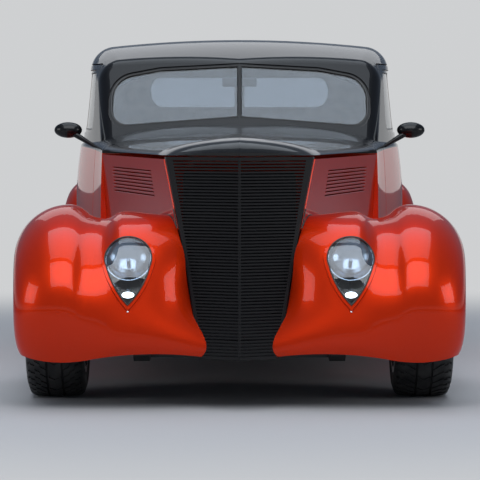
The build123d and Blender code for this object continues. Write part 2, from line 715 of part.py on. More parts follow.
with BuildPart() as radiator:
    with Locations((0, -1765, 560)):
        Box(430, 50, 640)
    fillet(radiator.edges().filter_by(Axis.Y), radius=12)
save(radiator.part, "radiator")

with BuildPart() as fuel_tank:
    with Locations((0, 1760, 425)):
        Box(460, 380, 184)
    fillet(fuel_tank.edges().filter_by(Axis.X), radius=30)
save(fuel_tank.part, "fuel_tank")

# Exhaust: manifold on the engine's side, pipe and muffler under the floor, over the axle to the tail
PIPE_R = 26
PIPE_ROUTE = [
    (250, -1080, 480), (270, -1000, 212), (270, 950, 212), (270, 1120, 455), (270, 1560, 455),
    (285, 1830, 200), (285, 2110, 182),
]
with BuildPart() as exhaust_half:
    with BuildLine():
        FilletPolyline(*PIPE_ROUTE, radius=60)
    with BuildSketch(Plane(origin=PIPE_ROUTE[0], z_dir=Vector(*PIPE_ROUTE[1]) - Vector(*PIPE_ROUTE[0]))):
        Circle(PIPE_R)
    sweep()
    with Locations((250, -1080, 490)):
        Box(90, 460, 60)
    with Locations((262, 560, 207)):
        Box(140, 420, 66)
save(exhaust_half.part + mirrored(exhaust_half.part), "exhaust")

# Front suspension: crossmember, towers, arms and coil units; the knuckle turns in the arms' eyes
KINGPIN_X = 600
KINGPIN_R = 16
EYE_R = 32
FIT = 0.05
ARM_THICK = 22
LOWER_ARM_Z = 200
UPPER_ARM_Z = 408
AXLE_Z = FRONT_TYRE_R
WHEEL_X = FRONT_TRACK / 2
SPINDLE_R = 20
with BuildPart() as suspension:
    with Locations((0, FRONT_AXLE_Y, 216)):
        Box(2 * RAIL_X[0], 90, 92)
    for side in (1, -1):
        for arm_z, arm_spread in ((LOWER_ARM_Z, 105), (UPPER_ARM_Z, 75)):
            with BuildSketch(Plane.XY.offset(arm_z)):
                with BuildLine():
                    Polyline(
                        (side * RAIL_X[1], FRONT_AXLE_Y - arm_spread),
                        (side * (KINGPIN_X - 8), FRONT_AXLE_Y - EYE_R + 2),
                        (side * (KINGPIN_X - 8), FRONT_AXLE_Y + EYE_R - 2),
                        (side * RAIL_X[1], FRONT_AXLE_Y + arm_spread),
                        close=True,
                    )
                make_face()
                with Locations((side * KINGPIN_X, FRONT_AXLE_Y)):
                    Circle(EYE_R)
                    Circle(KINGPIN_R + FIT, mode=Mode.SUBTRACT)
            extrude(amount=ARM_THICK)
        with Locations((side * (RAIL_X[1] - 15), FRONT_AXLE_Y, 350)):
            Box(30, 170, 176)
        with Locations((side * 470, FRONT_AXLE_Y, (LOWER_ARM_Z + UPPER_ARM_Z + ARM_THICK) / 2)):
            Cylinder(42, UPPER_ARM_Z - LOWER_ARM_Z - ARM_THICK)
save(suspension.part, "front_suspension")

with BuildPart() as knuckle:
    with Locations((KINGPIN_X, FRONT_AXLE_Y, AXLE_Z)):
        Cylinder(KINGPIN_R, UPPER_ARM_Z + ARM_THICK + 10 - LOWER_ARM_Z + 10)
        Box(46, 64, UPPER_ARM_Z - LOWER_ARM_Z - ARM_THICK - 12)
    with Locations(Location((KINGPIN_X + 32, FRONT_AXLE_Y, AXLE_Z), (0, 90, 0))):
        Cylinder(34, 24)
    with Locations(Location((WHEEL_X - 56, FRONT_AXLE_Y, AXLE_Z), (0, 90, 0))):
        Cylinder(SPINDLE_R, 88)
both_sides(knuckle.part, "knuckle")

# Rear axle with its coil units and the bars that hold it
REAR_WHEEL_X = REAR_TRACK / 2
SPINDLE_END = REAR_WHEEL_X - 12
AXLE_END = REAR_WHEEL_X - 68
AXLE_R = 38
BANJO_R = 128
axle_right = [(160, 60), (240, AXLE_R), (AXLE_END, AXLE_R), (AXLE_END, SPINDLE_R), (SPINDLE_END, SPINDLE_R)]
axle_left = [(-x, radius) for x, radius in reversed(axle_right)]
with BuildPart() as rear_axle:
    with BuildSketch(Plane(origin=(0, REAR_AXLE_Y, REAR_TYRE_R), x_dir=(1, 0, 0), z_dir=(0, -1, 0))):
        with BuildLine():
            ThreePointArc(axle_left[-1], (0, BANJO_R), axle_right[0])
            Polyline(*axle_right, (SPINDLE_END, 0), (-SPINDLE_END, 0), *axle_left)
        make_face()
    revolve(axis=Axis((0, REAR_AXLE_Y, REAR_TYRE_R), (1, 0, 0)))
    for side in (1, -1):
        with Locations((side * 470, REAR_AXLE_Y, (REAR_TYRE_R + REAR_FLOOR_Z) / 2)):
            Cylinder(36, REAR_FLOOR_Z - REAR_TYRE_R)
        with Locations((side * (RAIL_X[1] + 12), REAR_AXLE_Y - 200, REAR_TYRE_R - 10)):
            Box(24, 420, 50)
save(rear_axle.part, "rear_axle")


def wheel(rim_r, tyre_r, tyre_w):
    """A rim with five spokes and its tyre, turning about Z with the outer face up."""
    half_w = tyre_w / 2 - 12
    barrel_in = rim_r - 14
    with BuildPart() as rim:
        with BuildSketch(Plane.XZ):
            with BuildLine():
                Polyline(
                    (barrel_in, -half_w - 8), (rim_r + 8, -half_w - 8), (rim_r + 8, -half_w - 0.3),
                    (rim_r - 0.3, -half_w - 0.3), (rim_r - 0.3, half_w + 0.3), (rim_r + 8, half_w + 0.3),
                    (rim_r + 8, half_w + 8), (barrel_in, half_w + 8), close=True,
                )
            make_face()
            with BuildLine():
                Polyline(
                    (0, -60), (140, -60), (140, -40), (68, -40), (68, 34), (barrel_in + 2, 44),
                    (barrel_in + 2, 60), (60, 66), (0, 66), close=True,
                )
            make_face()
        revolve(axis=Axis.Z)
        window = [(88, 0), (barrel_in - 24, 58), (barrel_in - 14, 0), (barrel_in - 24, -58)]
        with BuildSketch(Plane.XY.offset(30)):
            with PolarLocations(0, 5):
                Polygon(*window, align=None)
        extrude(amount=60, mode=Mode.SUBTRACT)
        with Locations((0, 0, -12)):
            Cylinder(SPINDLE_R + FIT, 100, mode=Mode.SUBTRACT)
    with BuildPart() as tyre:
        with BuildSketch(Plane.XZ):
            with BuildLine():
                shoulder = (tyre_r - 14, tyre_w / 2 - 8)
                bead = (rim_r + 10, half_w)
                Line((rim_r, -half_w), (rim_r, half_w))
                Line((rim_r, half_w), bead)
                ThreePointArc(bead, ((rim_r + tyre_r) / 2 - 4, tyre_w / 2), shoulder)
                ThreePointArc(shoulder, (tyre_r - 4, tyre_w / 2 - 18), (tyre_r, tyre_w / 2 - 36))
                Line((tyre_r, tyre_w / 2 - 36), (tyre_r, -tyre_w / 2 + 36))
                low = (shoulder[0], -shoulder[1])
                ThreePointArc(low, (tyre_r - 4, -tyre_w / 2 + 18), (tyre_r, -tyre_w / 2 + 36))
                ThreePointArc((bead[0], -half_w), ((rim_r + tyre_r) / 2 - 4, -tyre_w / 2), low)
                Line((bead[0], -half_w), (rim_r, -half_w))
            make_face()
        revolve(axis=Axis.Z)
    return rim.part, tyre.part


for name, x, y, z, sizes in (
    ("front", WHEEL_X, FRONT_AXLE_Y, AXLE_Z, (FRONT_RIM_R, FRONT_TYRE_R, FRONT_TYRE_W)),
    ("rear", REAR_WHEEL_X, REAR_AXLE_Y, REAR_TYRE_R, (REAR_RIM_R, REAR_TYRE_R, REAR_TYRE_W)),
):
    rim, tyre = wheel(*sizes)
    place = Location((x, y, z), (0, 90, 0))
    both_sides(place * rim, f"{name}_rim")
    both_sides(place * tyre, f"{name}_tyre")

# Cabin: dashboard, steering wheel on its column, seats
cabin = lower_volume(BODY_WALL + 1)
DASH_PROFILE = [(-470, 860, 12), (-300, 800, 12), (-285, 915, 30), (-330, 950, 25), (-470, 950, 12)]
dashboard = side_prism(DASH_PROFILE) & cabin
save(dashboard, "dashboard")

DRIVER_X = 330
COLUMN_FOOT = Vector(DRIVER_X, FLOOR_START_Y, 560)
COLUMN_HEAD = Vector(DRIVER_X, 20, 790)
column_dir = COLUMN_HEAD - COLUMN_FOOT
with BuildPart() as steering:
    with BuildSketch(Plane(origin=COLUMN_FOOT, z_dir=column_dir)):
        Circle(20)
    extrude(amount=column_dir.length)
    with Locations(Plane(origin=COLUMN_HEAD, z_dir=column_dir).location):
        Torus(178, 13)
        Box(350, 40, 14)
        Box(40, 350, 14)
        Cylinder(46, 30)
steering_wheel = steering.part - [slab(0, 1), Pos(0, FLOOR_START_Y - 50, 560) * Box(1400, 100, 300)]
save(steering_wheel, "steering_wheel")

SEAT_HALF = 520
FRONT_SEAT = [
    (70, 253), (560, 253), (760, 960), (690, 1000), (620, 980), (480, 500), (90, 520),
]
REAR_SEAT = [
    (885, 526), (1400, 526), (1470, 1010), (1400, 1040), (1340, 1020), (1250, 700), (890, 710),
]
for name, profile in (("front_seat", FRONT_SEAT), ("rear_seat", REAR_SEAT)):
    with BuildPart() as seat:
        with BuildSketch(Plane.YZ):
            with BuildLine():
                Polyline(*profile, close=True)
            make_face()
        extrude(amount=SEAT_HALF, both=True)
        fillet(seat.edges().filter_by(Axis.X), radius=20)
    save(seat.part - tunnel(TUNNEL_R + 1), name)

# Mirrors on the doors, half egg shells with the glass to the rear, and tail lamps on the tail
MIRROR_X = 754
MIRROR_Y = -120
MIRROR_Z = 1034
MIRROR_SIZE = (61, 35)
MIRROR_FOOT = (628, -130, 958)
SHELL_ANGLES = (0, 25, 50, 70, 84)
STEM_R = 8
STEM_DEPTH = 16
for name, side in (("left", 1), ("right", -1)):
    centre = Vector(side * MIRROR_X, MIRROR_Y, MIRROR_Z)
    foot = Vector(side * MIRROR_FOOT[0], MIRROR_FOOT[1], MIRROR_FOOT[2])
    stem_dir = centre - Vector(0, STEM_DEPTH, 0) - foot
    rings = []
    for angle in SHELL_ANGLES:
        with BuildSketch(Plane.XZ.offset(-MIRROR_Y + MIRROR_SIZE[1] * sin(radians(angle)))) as ring:
            with Locations((centre.X, centre.Z)):
                Ellipse(*[size * cos(radians(angle)) for size in MIRROR_SIZE])
        rings.append(ring.sketch)
    with BuildPart() as side_mirror:
        loft(rings)
        with BuildSketch(Plane(origin=foot, z_dir=stem_dir)):
            Circle(STEM_R)
        extrude(amount=stem_dir.length)
    save(side_mirror.part - body_outer, f"mirror_{name}")

with BuildPart() as tail_lamp:
    with BuildSketch(Plane.XZ.offset(-TAIL_Y)):
        with Locations((330, 345), (-330, 345)):
            Ellipse(34, 52)
    extrude(amount=-LAMP_PROUD)
save(tail_lamp.part, "tail_lamps")
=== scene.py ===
# %% [markdown]
# # A two-tone street rod, dressed in Blender
# The CAD frame gives every rigid piece at its real place and size, in metres: +Z is up and the nose points
# along -Y. This script gives those pieces their finishes and adds what the frame leaves plain: tread, seams,
# lamp glass, louvre lips, trim and the cabin's upholstery. Nothing here moves a CAD piece.

# %% Load the frame
import bmesh
import bpy
from math import atan2, cos, degrees, pi, radians, sin
from mathutils import Matrix, Vector


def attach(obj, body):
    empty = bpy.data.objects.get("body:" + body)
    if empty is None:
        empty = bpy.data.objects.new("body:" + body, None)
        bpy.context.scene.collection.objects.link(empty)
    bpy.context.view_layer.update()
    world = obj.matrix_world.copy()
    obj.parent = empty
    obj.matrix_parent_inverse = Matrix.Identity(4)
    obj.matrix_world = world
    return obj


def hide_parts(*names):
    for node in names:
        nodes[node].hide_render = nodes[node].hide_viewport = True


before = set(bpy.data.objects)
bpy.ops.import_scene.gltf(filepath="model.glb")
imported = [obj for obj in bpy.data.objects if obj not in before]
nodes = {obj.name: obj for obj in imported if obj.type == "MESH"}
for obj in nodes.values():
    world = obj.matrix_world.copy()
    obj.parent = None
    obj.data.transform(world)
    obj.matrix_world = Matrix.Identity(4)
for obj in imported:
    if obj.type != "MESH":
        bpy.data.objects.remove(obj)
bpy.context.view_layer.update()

# %% [markdown]
# ## The camera's place
# The car is seen straight from the front with a long lens: both fenders look the same and the sides hardly
# show. A camera 11 m ahead of the front axle at 1.1 m sees the horizon a quarter of the way down the frame,
# so it looks down by a little more than two degrees.

# %% Camera
FRONT_AXLE_Y = -1.500
REAR_AXLE_Y = 1.345
CAMERA_DISTANCE = 11.0
CAMERA_HEIGHT = 1.10
FOCAL_PIXELS = 2810
FRAME_PIXELS = 480
HORIZON_PIXEL = 115
CENTRE_PIXEL = 239.5

camera_data = bpy.data.cameras.new("front_camera")
camera = bpy.data.objects.new("front_camera", camera_data)
bpy.context.scene.collection.objects.link(camera)
camera_data.sensor_width = 36
camera_data.lens = FOCAL_PIXELS * camera_data.sensor_width / FRAME_PIXELS
pitch = atan2(FRAME_PIXELS / 2 - HORIZON_PIXEL, FOCAL_PIXELS)
yaw = atan2(CENTRE_PIXEL - FRAME_PIXELS / 2, FOCAL_PIXELS)
camera.location = (0, FRONT_AXLE_Y - CAMERA_DISTANCE, CAMERA_HEIGHT)
camera.rotation_euler = (radians(90) - pitch, 0, yaw)
bpy.context.scene.camera = camera
print("lens", round(camera_data.lens, 1), "mm, pitch", round(degrees(pitch), 2), "degrees")

# %% [markdown]
# ## Floor and light
# The car stands on a plain pale floor in a pale surround. A horizon line would cut the picture in two, so the
# floor's far part fades into the backdrop wherever the eye sees it, straight or through glass. The paint is
# glossy, so what it mirrors matters as much as its colour: near the horizon it mirrors the pale backdrop, and
# above that a dimmer ceiling, which keeps black paint black.

# %% Floor and world
bpy.context.scene.view_settings.view_transform = "Standard"
BACKDROP = (0.62, 0.63, 0.64, 1)
CEILING = (0.11, 0.14, 0.19, 1)
FLOOR_NEAR = 2.4
FLOOR_FAR = 5.4


def seen_by_eye(tree):
    """One for rays that the eye follows straight from the camera or through glass."""
    path = tree.nodes.new("ShaderNodeLightPath")
    either = tree.nodes.new("ShaderNodeMath")
    either.operation = "MAXIMUM"
    tree.links.new(path.outputs["Is Camera Ray"], either.inputs[0])
    tree.links.new(path.outputs["Is Transmission Ray"], either.inputs[1])
    return either.outputs["Value"]


def plain_floor():
    """A large pale ground plane whose far part fades into the backdrop, so that no horizon line shows."""
    bpy.ops.object.select_all(action="DESELECT")
    bpy.ops.mesh.primitive_plane_add(size=80, location=(0, 0, 0))
    floor = bpy.context.object
    floor.name = "studio_floor"
    material = bpy.data.materials.new("floor_pale")
    material.use_nodes = True
    tree = material.node_tree
    shader = tree.nodes["Principled BSDF"]
    shader.inputs["Base Color"].default_value = (0.44, 0.44, 0.45, 1)
    shader.inputs["Roughness"].default_value = 0.9
    shader.inputs["Specular IOR Level"].default_value = 0.1
    place = tree.nodes.new("ShaderNodeTexCoord")
    distance = tree.nodes.new("ShaderNodeVectorMath")
    distance.operation = "LENGTH"
    fade = tree.nodes.new("ShaderNodeMapRange")
    fade.interpolation_type = "SMOOTHSTEP"
    fade.inputs["From Min"].default_value = FLOOR_NEAR
    fade.inputs["From Max"].default_value = FLOOR_FAR
    seen = tree.nodes.new("ShaderNodeMath")
    seen.operation = "MULTIPLY"
    backdrop = tree.nodes.new("ShaderNodeEmission")
    backdrop.inputs["Color"].default_value = BACKDROP
    mix = tree.nodes.new("ShaderNodeMixShader")
    tree.links.new(place.outputs["Object"], distance.inputs[0])
    tree.links.new(distance.outputs["Value"], fade.inputs["Value"])
    tree.links.new(fade.outputs["Result"], seen.inputs[0])
    tree.links.new(seen_by_eye(tree), seen.inputs[1])
    tree.links.new(seen.outputs["Value"], mix.inputs["Fac"])
    tree.links.new(shader.outputs["BSDF"], mix.inputs[1])
    tree.links.new(backdrop.outputs["Emission"], mix.inputs[2])
    side = tree.nodes.new("ShaderNodeNewGeometry")
    clear = tree.nodes.new("ShaderNodeBsdfTransparent")
    under = tree.nodes.new("ShaderNodeMixShader")
    tree.links.new(side.outputs["Backfacing"], under.inputs["Fac"])
    tree.links.new(mix.outputs["Shader"], under.inputs[1])
    tree.links.new(clear.outputs["BSDF"], under.inputs[2])
    tree.links.new(under.outputs["Shader"], tree.nodes["Material Output"].inputs["Surface"])
    floor.data.materials.append(material)
    return floor


def pale_world():
    """The pale backdrop. Paint mirrors it near the horizon, and a dim ceiling above."""
    world = bpy.data.worlds.new("studio")
    bpy.context.scene.world = world
    world.use_nodes = True
    tree = world.node_tree
    tree.nodes.clear()
    output = tree.nodes.new("ShaderNodeOutputWorld")
    mix = tree.nodes.new("ShaderNodeMixShader")
    room = tree.nodes.new("ShaderNodeBackground")
    backdrop = tree.nodes.new("ShaderNodeBackground")
    place = tree.nodes.new("ShaderNodeTexCoord")
    split = tree.nodes.new("ShaderNodeSeparateXYZ")
    height = tree.nodes.new("ShaderNodeMapRange")
    ramp = tree.nodes.new("ShaderNodeValToRGB")
    height.inputs["From Min"].default_value = -0.1
    height.inputs["From Max"].default_value = 1.0
    ramp.color_ramp.elements[0].position = 0.115
    ramp.color_ramp.elements[0].color = BACKDROP
    ramp.color_ramp.elements[1].position = 0.18
    ramp.color_ramp.elements[1].color = CEILING
    backdrop.inputs["Color"].default_value = BACKDROP
    tree.links.new(place.outputs["Generated"], split.inputs["Vector"])
    tree.links.new(split.outputs["Z"], height.inputs["Value"])
    tree.links.new(height.outputs["Result"], ramp.inputs["Fac"])
    tree.links.new(ramp.outputs["Color"], room.inputs["Color"])
    tree.links.new(seen_by_eye(tree), mix.inputs["Fac"])
    tree.links.new(room.outputs["Background"], mix.inputs[1])
    tree.links.new(backdrop.outputs["Background"], mix.inputs[2])
    tree.links.new(mix.outputs["Shader"], output.inputs["Surface"])


plain_floor()
pale_world()
print("floor and world ready")

# %% [markdown]
# ### Soft boxes
# Broad lamps draw broad highlights, as an open sky does. One high box in front draws those on the fenders'
# crowns and lamp pods, one overhead those on the roof and hood, two at the sides shape the flanks, and a dim
# one behind lifts the tail off the backdrop.

# %% Soft boxes


def soft_box(name, place, aim, size, watts, colour=(1, 1, 1)):
    """A rectangular area lamp at place, turned towards aim."""
    light = bpy.data.lights.new(name, "AREA")
    light.shape = "RECTANGLE"
    light.size, light.size_y = size
    light.energy = watts
    light.color = colour
    lamp = bpy.data.objects.new(name, light)
    bpy.context.scene.collection.objects.link(lamp)
    lamp.location = place
    lamp.rotation_euler = (Vector(aim) - Vector(place)).to_track_quat("-Z", "Y").to_euler()
    return lamp


soft_box("sky_front", (0, -7.0, 7.5), (0, -1.2, 0.5), (9.0, 6.5), 600, (0.93, 0.96, 1.0))
soft_box("sky_over", (0, 0.0, 6.5), (0, 0.0, 0.5), (6.0, 6.0), 230, (0.84, 0.92, 1.0))
soft_box("left_side", (8.0, -4.5, 2.8), (0, -0.6, 0.5), (4.0, 3.0), 130)
soft_box("right_side", (-8.0, -4.5, 2.8), (0, -0.6, 0.5), (4.0, 3.0), 110)
soft_box("behind", (0, 8.0, 4.5), (0, 1.0, 0.8), (7.0, 3.0), 45)
print("soft boxes placed")

# %% [markdown]
# ## Finishes
# Each finish is a small node tree on the Principled shader. The colour car paint is a deep orange-red with
# fine metal flake that only glitters close up, under a clear coat. The black paint is one solid colour, so
# its clear coat does the work. Object coordinates keep every pattern fixed to the metal.

# %% Node helpers


def new_finish(name, colour, roughness, metallic=0.0):
    """A material with its Principled shader set, returned with its tree."""
    material = bpy.data.materials.new(name)
    material.use_nodes = True
    tree = material.node_tree
    shader = tree.nodes["Principled BSDF"]
    shader.inputs["Base Color"].default_value = (*colour, 1)
    shader.inputs["Roughness"].default_value = roughness
    shader.inputs["Metallic"].default_value = metallic
    return material, tree, shader


def object_pattern(tree, kind, scale, detail=2.0):
    """A noise or cell pattern fixed to the piece by its Object coordinates."""
    place = tree.nodes.new("ShaderNodeTexCoord")
    pattern = tree.nodes.new(kind)
    pattern.inputs["Scale"].default_value = scale
    if "Detail" in pattern.inputs:
        pattern.inputs["Detail"].default_value = detail
    tree.links.new(place.outputs["Object"], pattern.inputs["Vector"])
    return pattern


def colour_between(tree, value, dark, light, low=0.35, high=0.65):
    """A ramp that turns a grey pattern into a blend of two colours."""
    ramp = tree.nodes.new("ShaderNodeValToRGB")
    ramp.color_ramp.elements[0].position = low
    ramp.color_ramp.elements[0].color = (*dark, 1)
    ramp.color_ramp.elements[1].position = high
    ramp.color_ramp.elements[1].color = (*light, 1)
    tree.links.new(value, ramp.inputs["Fac"])
    return ramp


def roughness_between(tree, shader, value, low, high):
    """Vary the shader's roughness with a pattern."""
    spread = tree.nodes.new("ShaderNodeMapRange")
    spread.inputs["To Min"].default_value = low
    spread.inputs["To Max"].default_value = high
    tree.links.new(value, spread.inputs["Value"])
    tree.links.new(spread.outputs["Result"], shader.inputs["Roughness"])


def toned(tree, shader, scale, detail, dark, light):
    """Let the base colour drift between two tones with a broad noise."""
    tone = object_pattern(tree, "ShaderNodeTexNoise", scale, detail)
    ramp = colour_between(tree, tone.outputs["Fac"], dark, light)
    tree.links.new(ramp.outputs["Color"], shader.inputs["Base Color"])


def bumped(tree, shader, value, distance, strength=1.0):
    """Raise the surface by a pattern; distance is in metres."""
    bump = tree.nodes.new("ShaderNodeBump")
    bump.inputs["Distance"].default_value = distance
    bump.inputs["Strength"].default_value = strength
    tree.links.new(value, bump.inputs["Height"])
    tree.links.new(bump.outputs["Normal"], shader.inputs["Normal"])


print("node helpers ready")

# %% [markdown]
# ### Paint
# Metal flake could be a noise, but flakes are flat chips that each catch the light alone, so a cell pattern is
# nearer: it mixes a deep and a bright orange-red. A second, thin layer over it is the clear coat, with the faint
# waviness that sprayed lacquer keeps. The frame and grille have a duller powder coat instead.

# %% Paints
RED_DEEP = (0.60, 0.026, 0.002)
RED_BRIGHT = (0.82, 0.054, 0.006)
BLACK = (0.004, 0.004, 0.005)
EDGE_TINT = (0.80, 0.16, 0.06, 1)


def flake_red(tree):
    """The colour of orange-red paint with fine metal flake, as a node output."""
    flakes = object_pattern(tree, "ShaderNodeTexVoronoi", 900)
    return colour_between(tree, flakes.outputs["Distance"], RED_BRIGHT, RED_DEEP, 0.2, 0.7).outputs["Color"]


def clear_coat(tree, shader, wave=120):
    """Polished clear coat with a trace of orange peel."""
    peel = object_pattern(tree, "ShaderNodeTexNoise", wave)
    bumped(tree, shader, peel.outputs["Fac"], 0.00002, 0.4)
    shader.inputs["Specular IOR Level"].default_value = 0.15
    shader.inputs["Coat Weight"].default_value = 0.8
    shader.inputs["Coat IOR"].default_value = 1.32
    shader.inputs["Coat Roughness"].default_value = 0.025


def flake_paint():
    """Orange-red metallic paint under clear coat."""
    material, tree, shader = new_finish("orange_red_paint", RED_BRIGHT, 0.36, 0.55)
    tree.links.new(flake_red(tree), shader.inputs["Base Color"])
    shader.inputs["Specular Tint"].default_value = EDGE_TINT
    clear_coat(tree, shader, 160)
    return material


def black_paint():
    """Solid black under clear coat, with the faintest waviness."""
    material, tree, shader = new_finish("gloss_black_paint", BLACK, 0.3)
    haze = object_pattern(tree, "ShaderNodeTexNoise", 30)
    roughness_between(tree, shader, haze.outputs["Fac"], 0.26, 0.36)
    clear_coat(tree, shader)
    return material


def satin_black(name, roughness, scale=60):
    """Powder-coated black for the frame and the grille bars."""
    material, tree, shader = new_finish(name, (0.008, 0.008, 0.009), roughness)
    grain = object_pattern(tree, "ShaderNodeTexNoise", scale * 10, 4)
    roughness_between(tree, shader, grain.outputs["Fac"], roughness - 0.06, roughness + 0.10)
    bumped(tree, shader, grain.outputs["Fac"], 0.00005, 0.5)
    return material


orange_red = flake_paint()
gloss_black = black_paint()
grille_black = satin_black("grille_satin_black", 0.32)
grille_black.node_tree.nodes["Principled BSDF"].inputs["Specular IOR Level"].default_value = 0.10
frame_black = satin_black("frame_satin_black", 0.45)
print("paints ready")

# %% [markdown]
# ### Where black meets red
# The body is sprayed black above the belt and orange-red below it. The paint line is level along the
# doors and falls with the tail, so the material reads each point's place: a curve gives the line's height
# for every point along the car, and what lies above it is black.

# %% Two-tone paint
LINE_FRONT_Y = -0.5
LINE_REAR_Y = 2.14
# along the car in metres, height of the paint line in metres
PAINT_LINE = [(-0.50, 0.937), (0.50, 0.952), (1.25, 0.90), (1.75, 0.73), (2.14, 0.43)]


def two_tone_paint():
    """Black above the paint line and orange-red below it."""
    material, tree, shader = new_finish("two_tone_paint", RED_BRIGHT, 0.36)
    place = tree.nodes.new("ShaderNodeTexCoord")
    split = tree.nodes.new("ShaderNodeSeparateXYZ")
    along = tree.nodes.new("ShaderNodeMapRange")
    along.inputs["From Min"].default_value = LINE_FRONT_Y
    along.inputs["From Max"].default_value = LINE_REAR_Y
    line = tree.nodes.new("ShaderNodeFloatCurve")
    curve = line.mapping.curves[0]
    spots = [((y - LINE_FRONT_Y) / (LINE_REAR_Y - LINE_FRONT_Y), z) for y, z in PAINT_LINE]
    curve.points[0].location = spots[0]
    curve.points[1].location = spots[-1]
    for spot in spots[1:-1]:
        curve.points.new(*spot)
    line.mapping.update()
    above = tree.nodes.new("ShaderNodeMath")
    above.operation = "SUBTRACT"
    edge = tree.nodes.new("ShaderNodeMapRange")
    edge.inputs["From Min"].default_value = -0.0006
    edge.inputs["From Max"].default_value = 0.0006
    colours = tree.nodes.new("ShaderNodeMix")
    colours.data_type = "RGBA"
    colours.inputs["B"].default_value = (*BLACK, 1)
    metal_part = tree.nodes.new("ShaderNodeMapRange")
    metal_part.inputs["To Min"].default_value = 0.55
    metal_part.inputs["To Max"].default_value = 0.0
    tree.links.new(place.outputs["Object"], split.inputs["Vector"])
    tree.links.new(split.outputs["Y"], along.inputs["Value"])
    tree.links.new(along.outputs["Result"], line.inputs["Value"])
    tree.links.new(split.outputs["Z"], above.inputs[0])
    tree.links.new(line.outputs["Value"], above.inputs[1])
    tree.links.new(above.outputs["Value"], edge.inputs["Value"])
    tree.links.new(edge.outputs["Result"], colours.inputs["Factor"])
    tree.links.new(flake_red(tree), colours.inputs["A"])
    tree.links.new(colours.outputs["Result"], shader.inputs["Base Color"])
    tree.links.new(edge.outputs["Result"], metal_part.inputs["Value"])
    tree.links.new(metal_part.outputs["Result"], shader.inputs["Metallic"])
    clear_coat(tree, shader, 160)
    return material


two_tone = two_tone_paint()
print("two-tone paint line at", PAINT_LINE[0][1], "m on the cowl")

# %% [markdown]
# ### Metals, rubber, glass and cabin cloth
# Each of these is one helper that takes the colour and how fine the grain is, so that plated, polished and cast
# metal differ only in numbers. Glass is tinted by its base colour, and a thin uneven film keeps it from looking
# like a hole; the windshield's pale blue tint is painted sky reflection. Cloth and leather get their threads and
# pebbles from bump, because they are finer than the mesh.

# %% Metals, rubber and glass


def metal(name, colour, roughness, scale, spread=0.08):
    """Bare metal with a fine uneven polish."""
    material, tree, shader = new_finish(name, colour, roughness, 1.0)
    grain = object_pattern(tree, "ShaderNodeTexNoise", scale, 5)
    roughness_between(tree, shader, grain.outputs["Fac"], roughness - spread, roughness + spread)
    return material


def tyre_rubber():
    """Black rubber, a little greyer where dust settles."""
    material, tree, shader = new_finish("tyre_rubber", (0.018, 0.018, 0.019), 0.7)
    toned(tree, shader, 22, 6, (0.010, 0.010, 0.011), (0.032, 0.031, 0.030))
    grain = object_pattern(tree, "ShaderNodeTexNoise", 900, 3)
    bumped(tree, shader, grain.outputs["Fac"], 0.0002, 0.5)
    return material


def clear_glass(name, colour, roughness=0.02, transmission=1.0, ior=1.45):
    """Thin glass; its tint is in the base colour."""
    material, tree, shader = new_finish(name, colour, roughness)
    shader.inputs["Transmission Weight"].default_value = transmission
    shader.inputs["IOR"].default_value = ior
    film = object_pattern(tree, "ShaderNodeTexNoise", 8, 3)
    roughness_between(tree, shader, film.outputs["Fac"], roughness * 0.5, roughness * 1.6)
    return material


def seal_rubber(name, shade, roughness):
    """Moulded rubber for seals: even, with a fine skin."""
    material, tree, shader = new_finish(name, (shade, shade, shade), roughness)
    skin = object_pattern(tree, "ShaderNodeTexNoise", 700, 3)
    roughness_between(tree, shader, skin.outputs["Fac"], roughness - 0.08, roughness + 0.08)
    bumped(tree, shader, skin.outputs["Fac"], 0.00008, 0.5)
    return material


print("metal, rubber and glass helpers ready")

# %% Cabin cloth and leather


def woven(name, dark, light, pitch):
    """Woven cabin cloth or carpet: a fine bump of cells for its threads, over an uneven tone."""
    material, tree, shader = new_finish(name, light, 0.9)
    toned(tree, shader, 14, 5, dark, light)
    threads = object_pattern(tree, "ShaderNodeTexVoronoi", 1 / pitch)
    bumped(tree, shader, threads.outputs["Distance"], pitch * 0.5, 0.8)
    shader.inputs["Sheen Weight"].default_value = 0.3
    return material


def leather(name, dark, light):
    """Pebbled upholstery leather."""
    material, tree, shader = new_finish(name, light, 0.5)
    toned(tree, shader, 9, 4, dark, light)
    pebble = object_pattern(tree, "ShaderNodeTexVoronoi", 420)
    bumped(tree, shader, pebble.outputs["Distance"], 0.0006, 0.6)
    return material


print("cloth and leather helpers ready")

# %% Every other finish
polished_rim = metal("polished_rim", (0.80, 0.80, 0.81), 0.16, 40, 0.05)
bare_steel = metal("bare_steel", (0.42, 0.42, 0.43), 0.38, 70, 0.10)
cast_iron = metal("engine_casting", (0.16, 0.16, 0.17), 0.55, 120, 0.12)
radiator_fins = metal("radiator_fins", (0.05, 0.05, 0.055), 0.45, 160, 0.1)
rubber = tyre_rubber()
chrome = metal("chrome_plate", (0.86, 0.88, 0.90), 0.06, 30, 0.03)
reflector = metal("lamp_reflector", (0.19, 0.24, 0.31), 0.20, 60, 0.05)
# the windshield's pale blue base colour is painted sky reflection, not a tint of the glass
window_glass = clear_glass("window_glass", (0.58, 0.66, 0.76), ior=1.65)
dark_glass = clear_glass("rear_window_glass", (0.30, 0.34, 0.38), ior=1.45)
lamp_glass = clear_glass("lamp_glass", (0.95, 0.98, 1.0), 0.01)
tail_red = clear_glass("tail_lens_red", (0.55, 0.01, 0.01), 0.05, 0.4)
seat_leather = leather("seat_leather", (0.10, 0.06, 0.035), (0.17, 0.11, 0.065))
dash_black = satin_black("dash_black", 0.35)
seal_black = seal_rubber("window_seal", 0.012, 0.42)
undercoat = seal_rubber("undercoat", 0.02, 0.8)
headliner = woven("headliner_cloth", (0.16, 0.12, 0.09), (0.24, 0.19, 0.145), 0.0016)
carpet = woven("cabin_carpet", (0.030, 0.018, 0.012), (0.065, 0.042, 0.03), 0.003)
print("metals, rubber and glass ready")

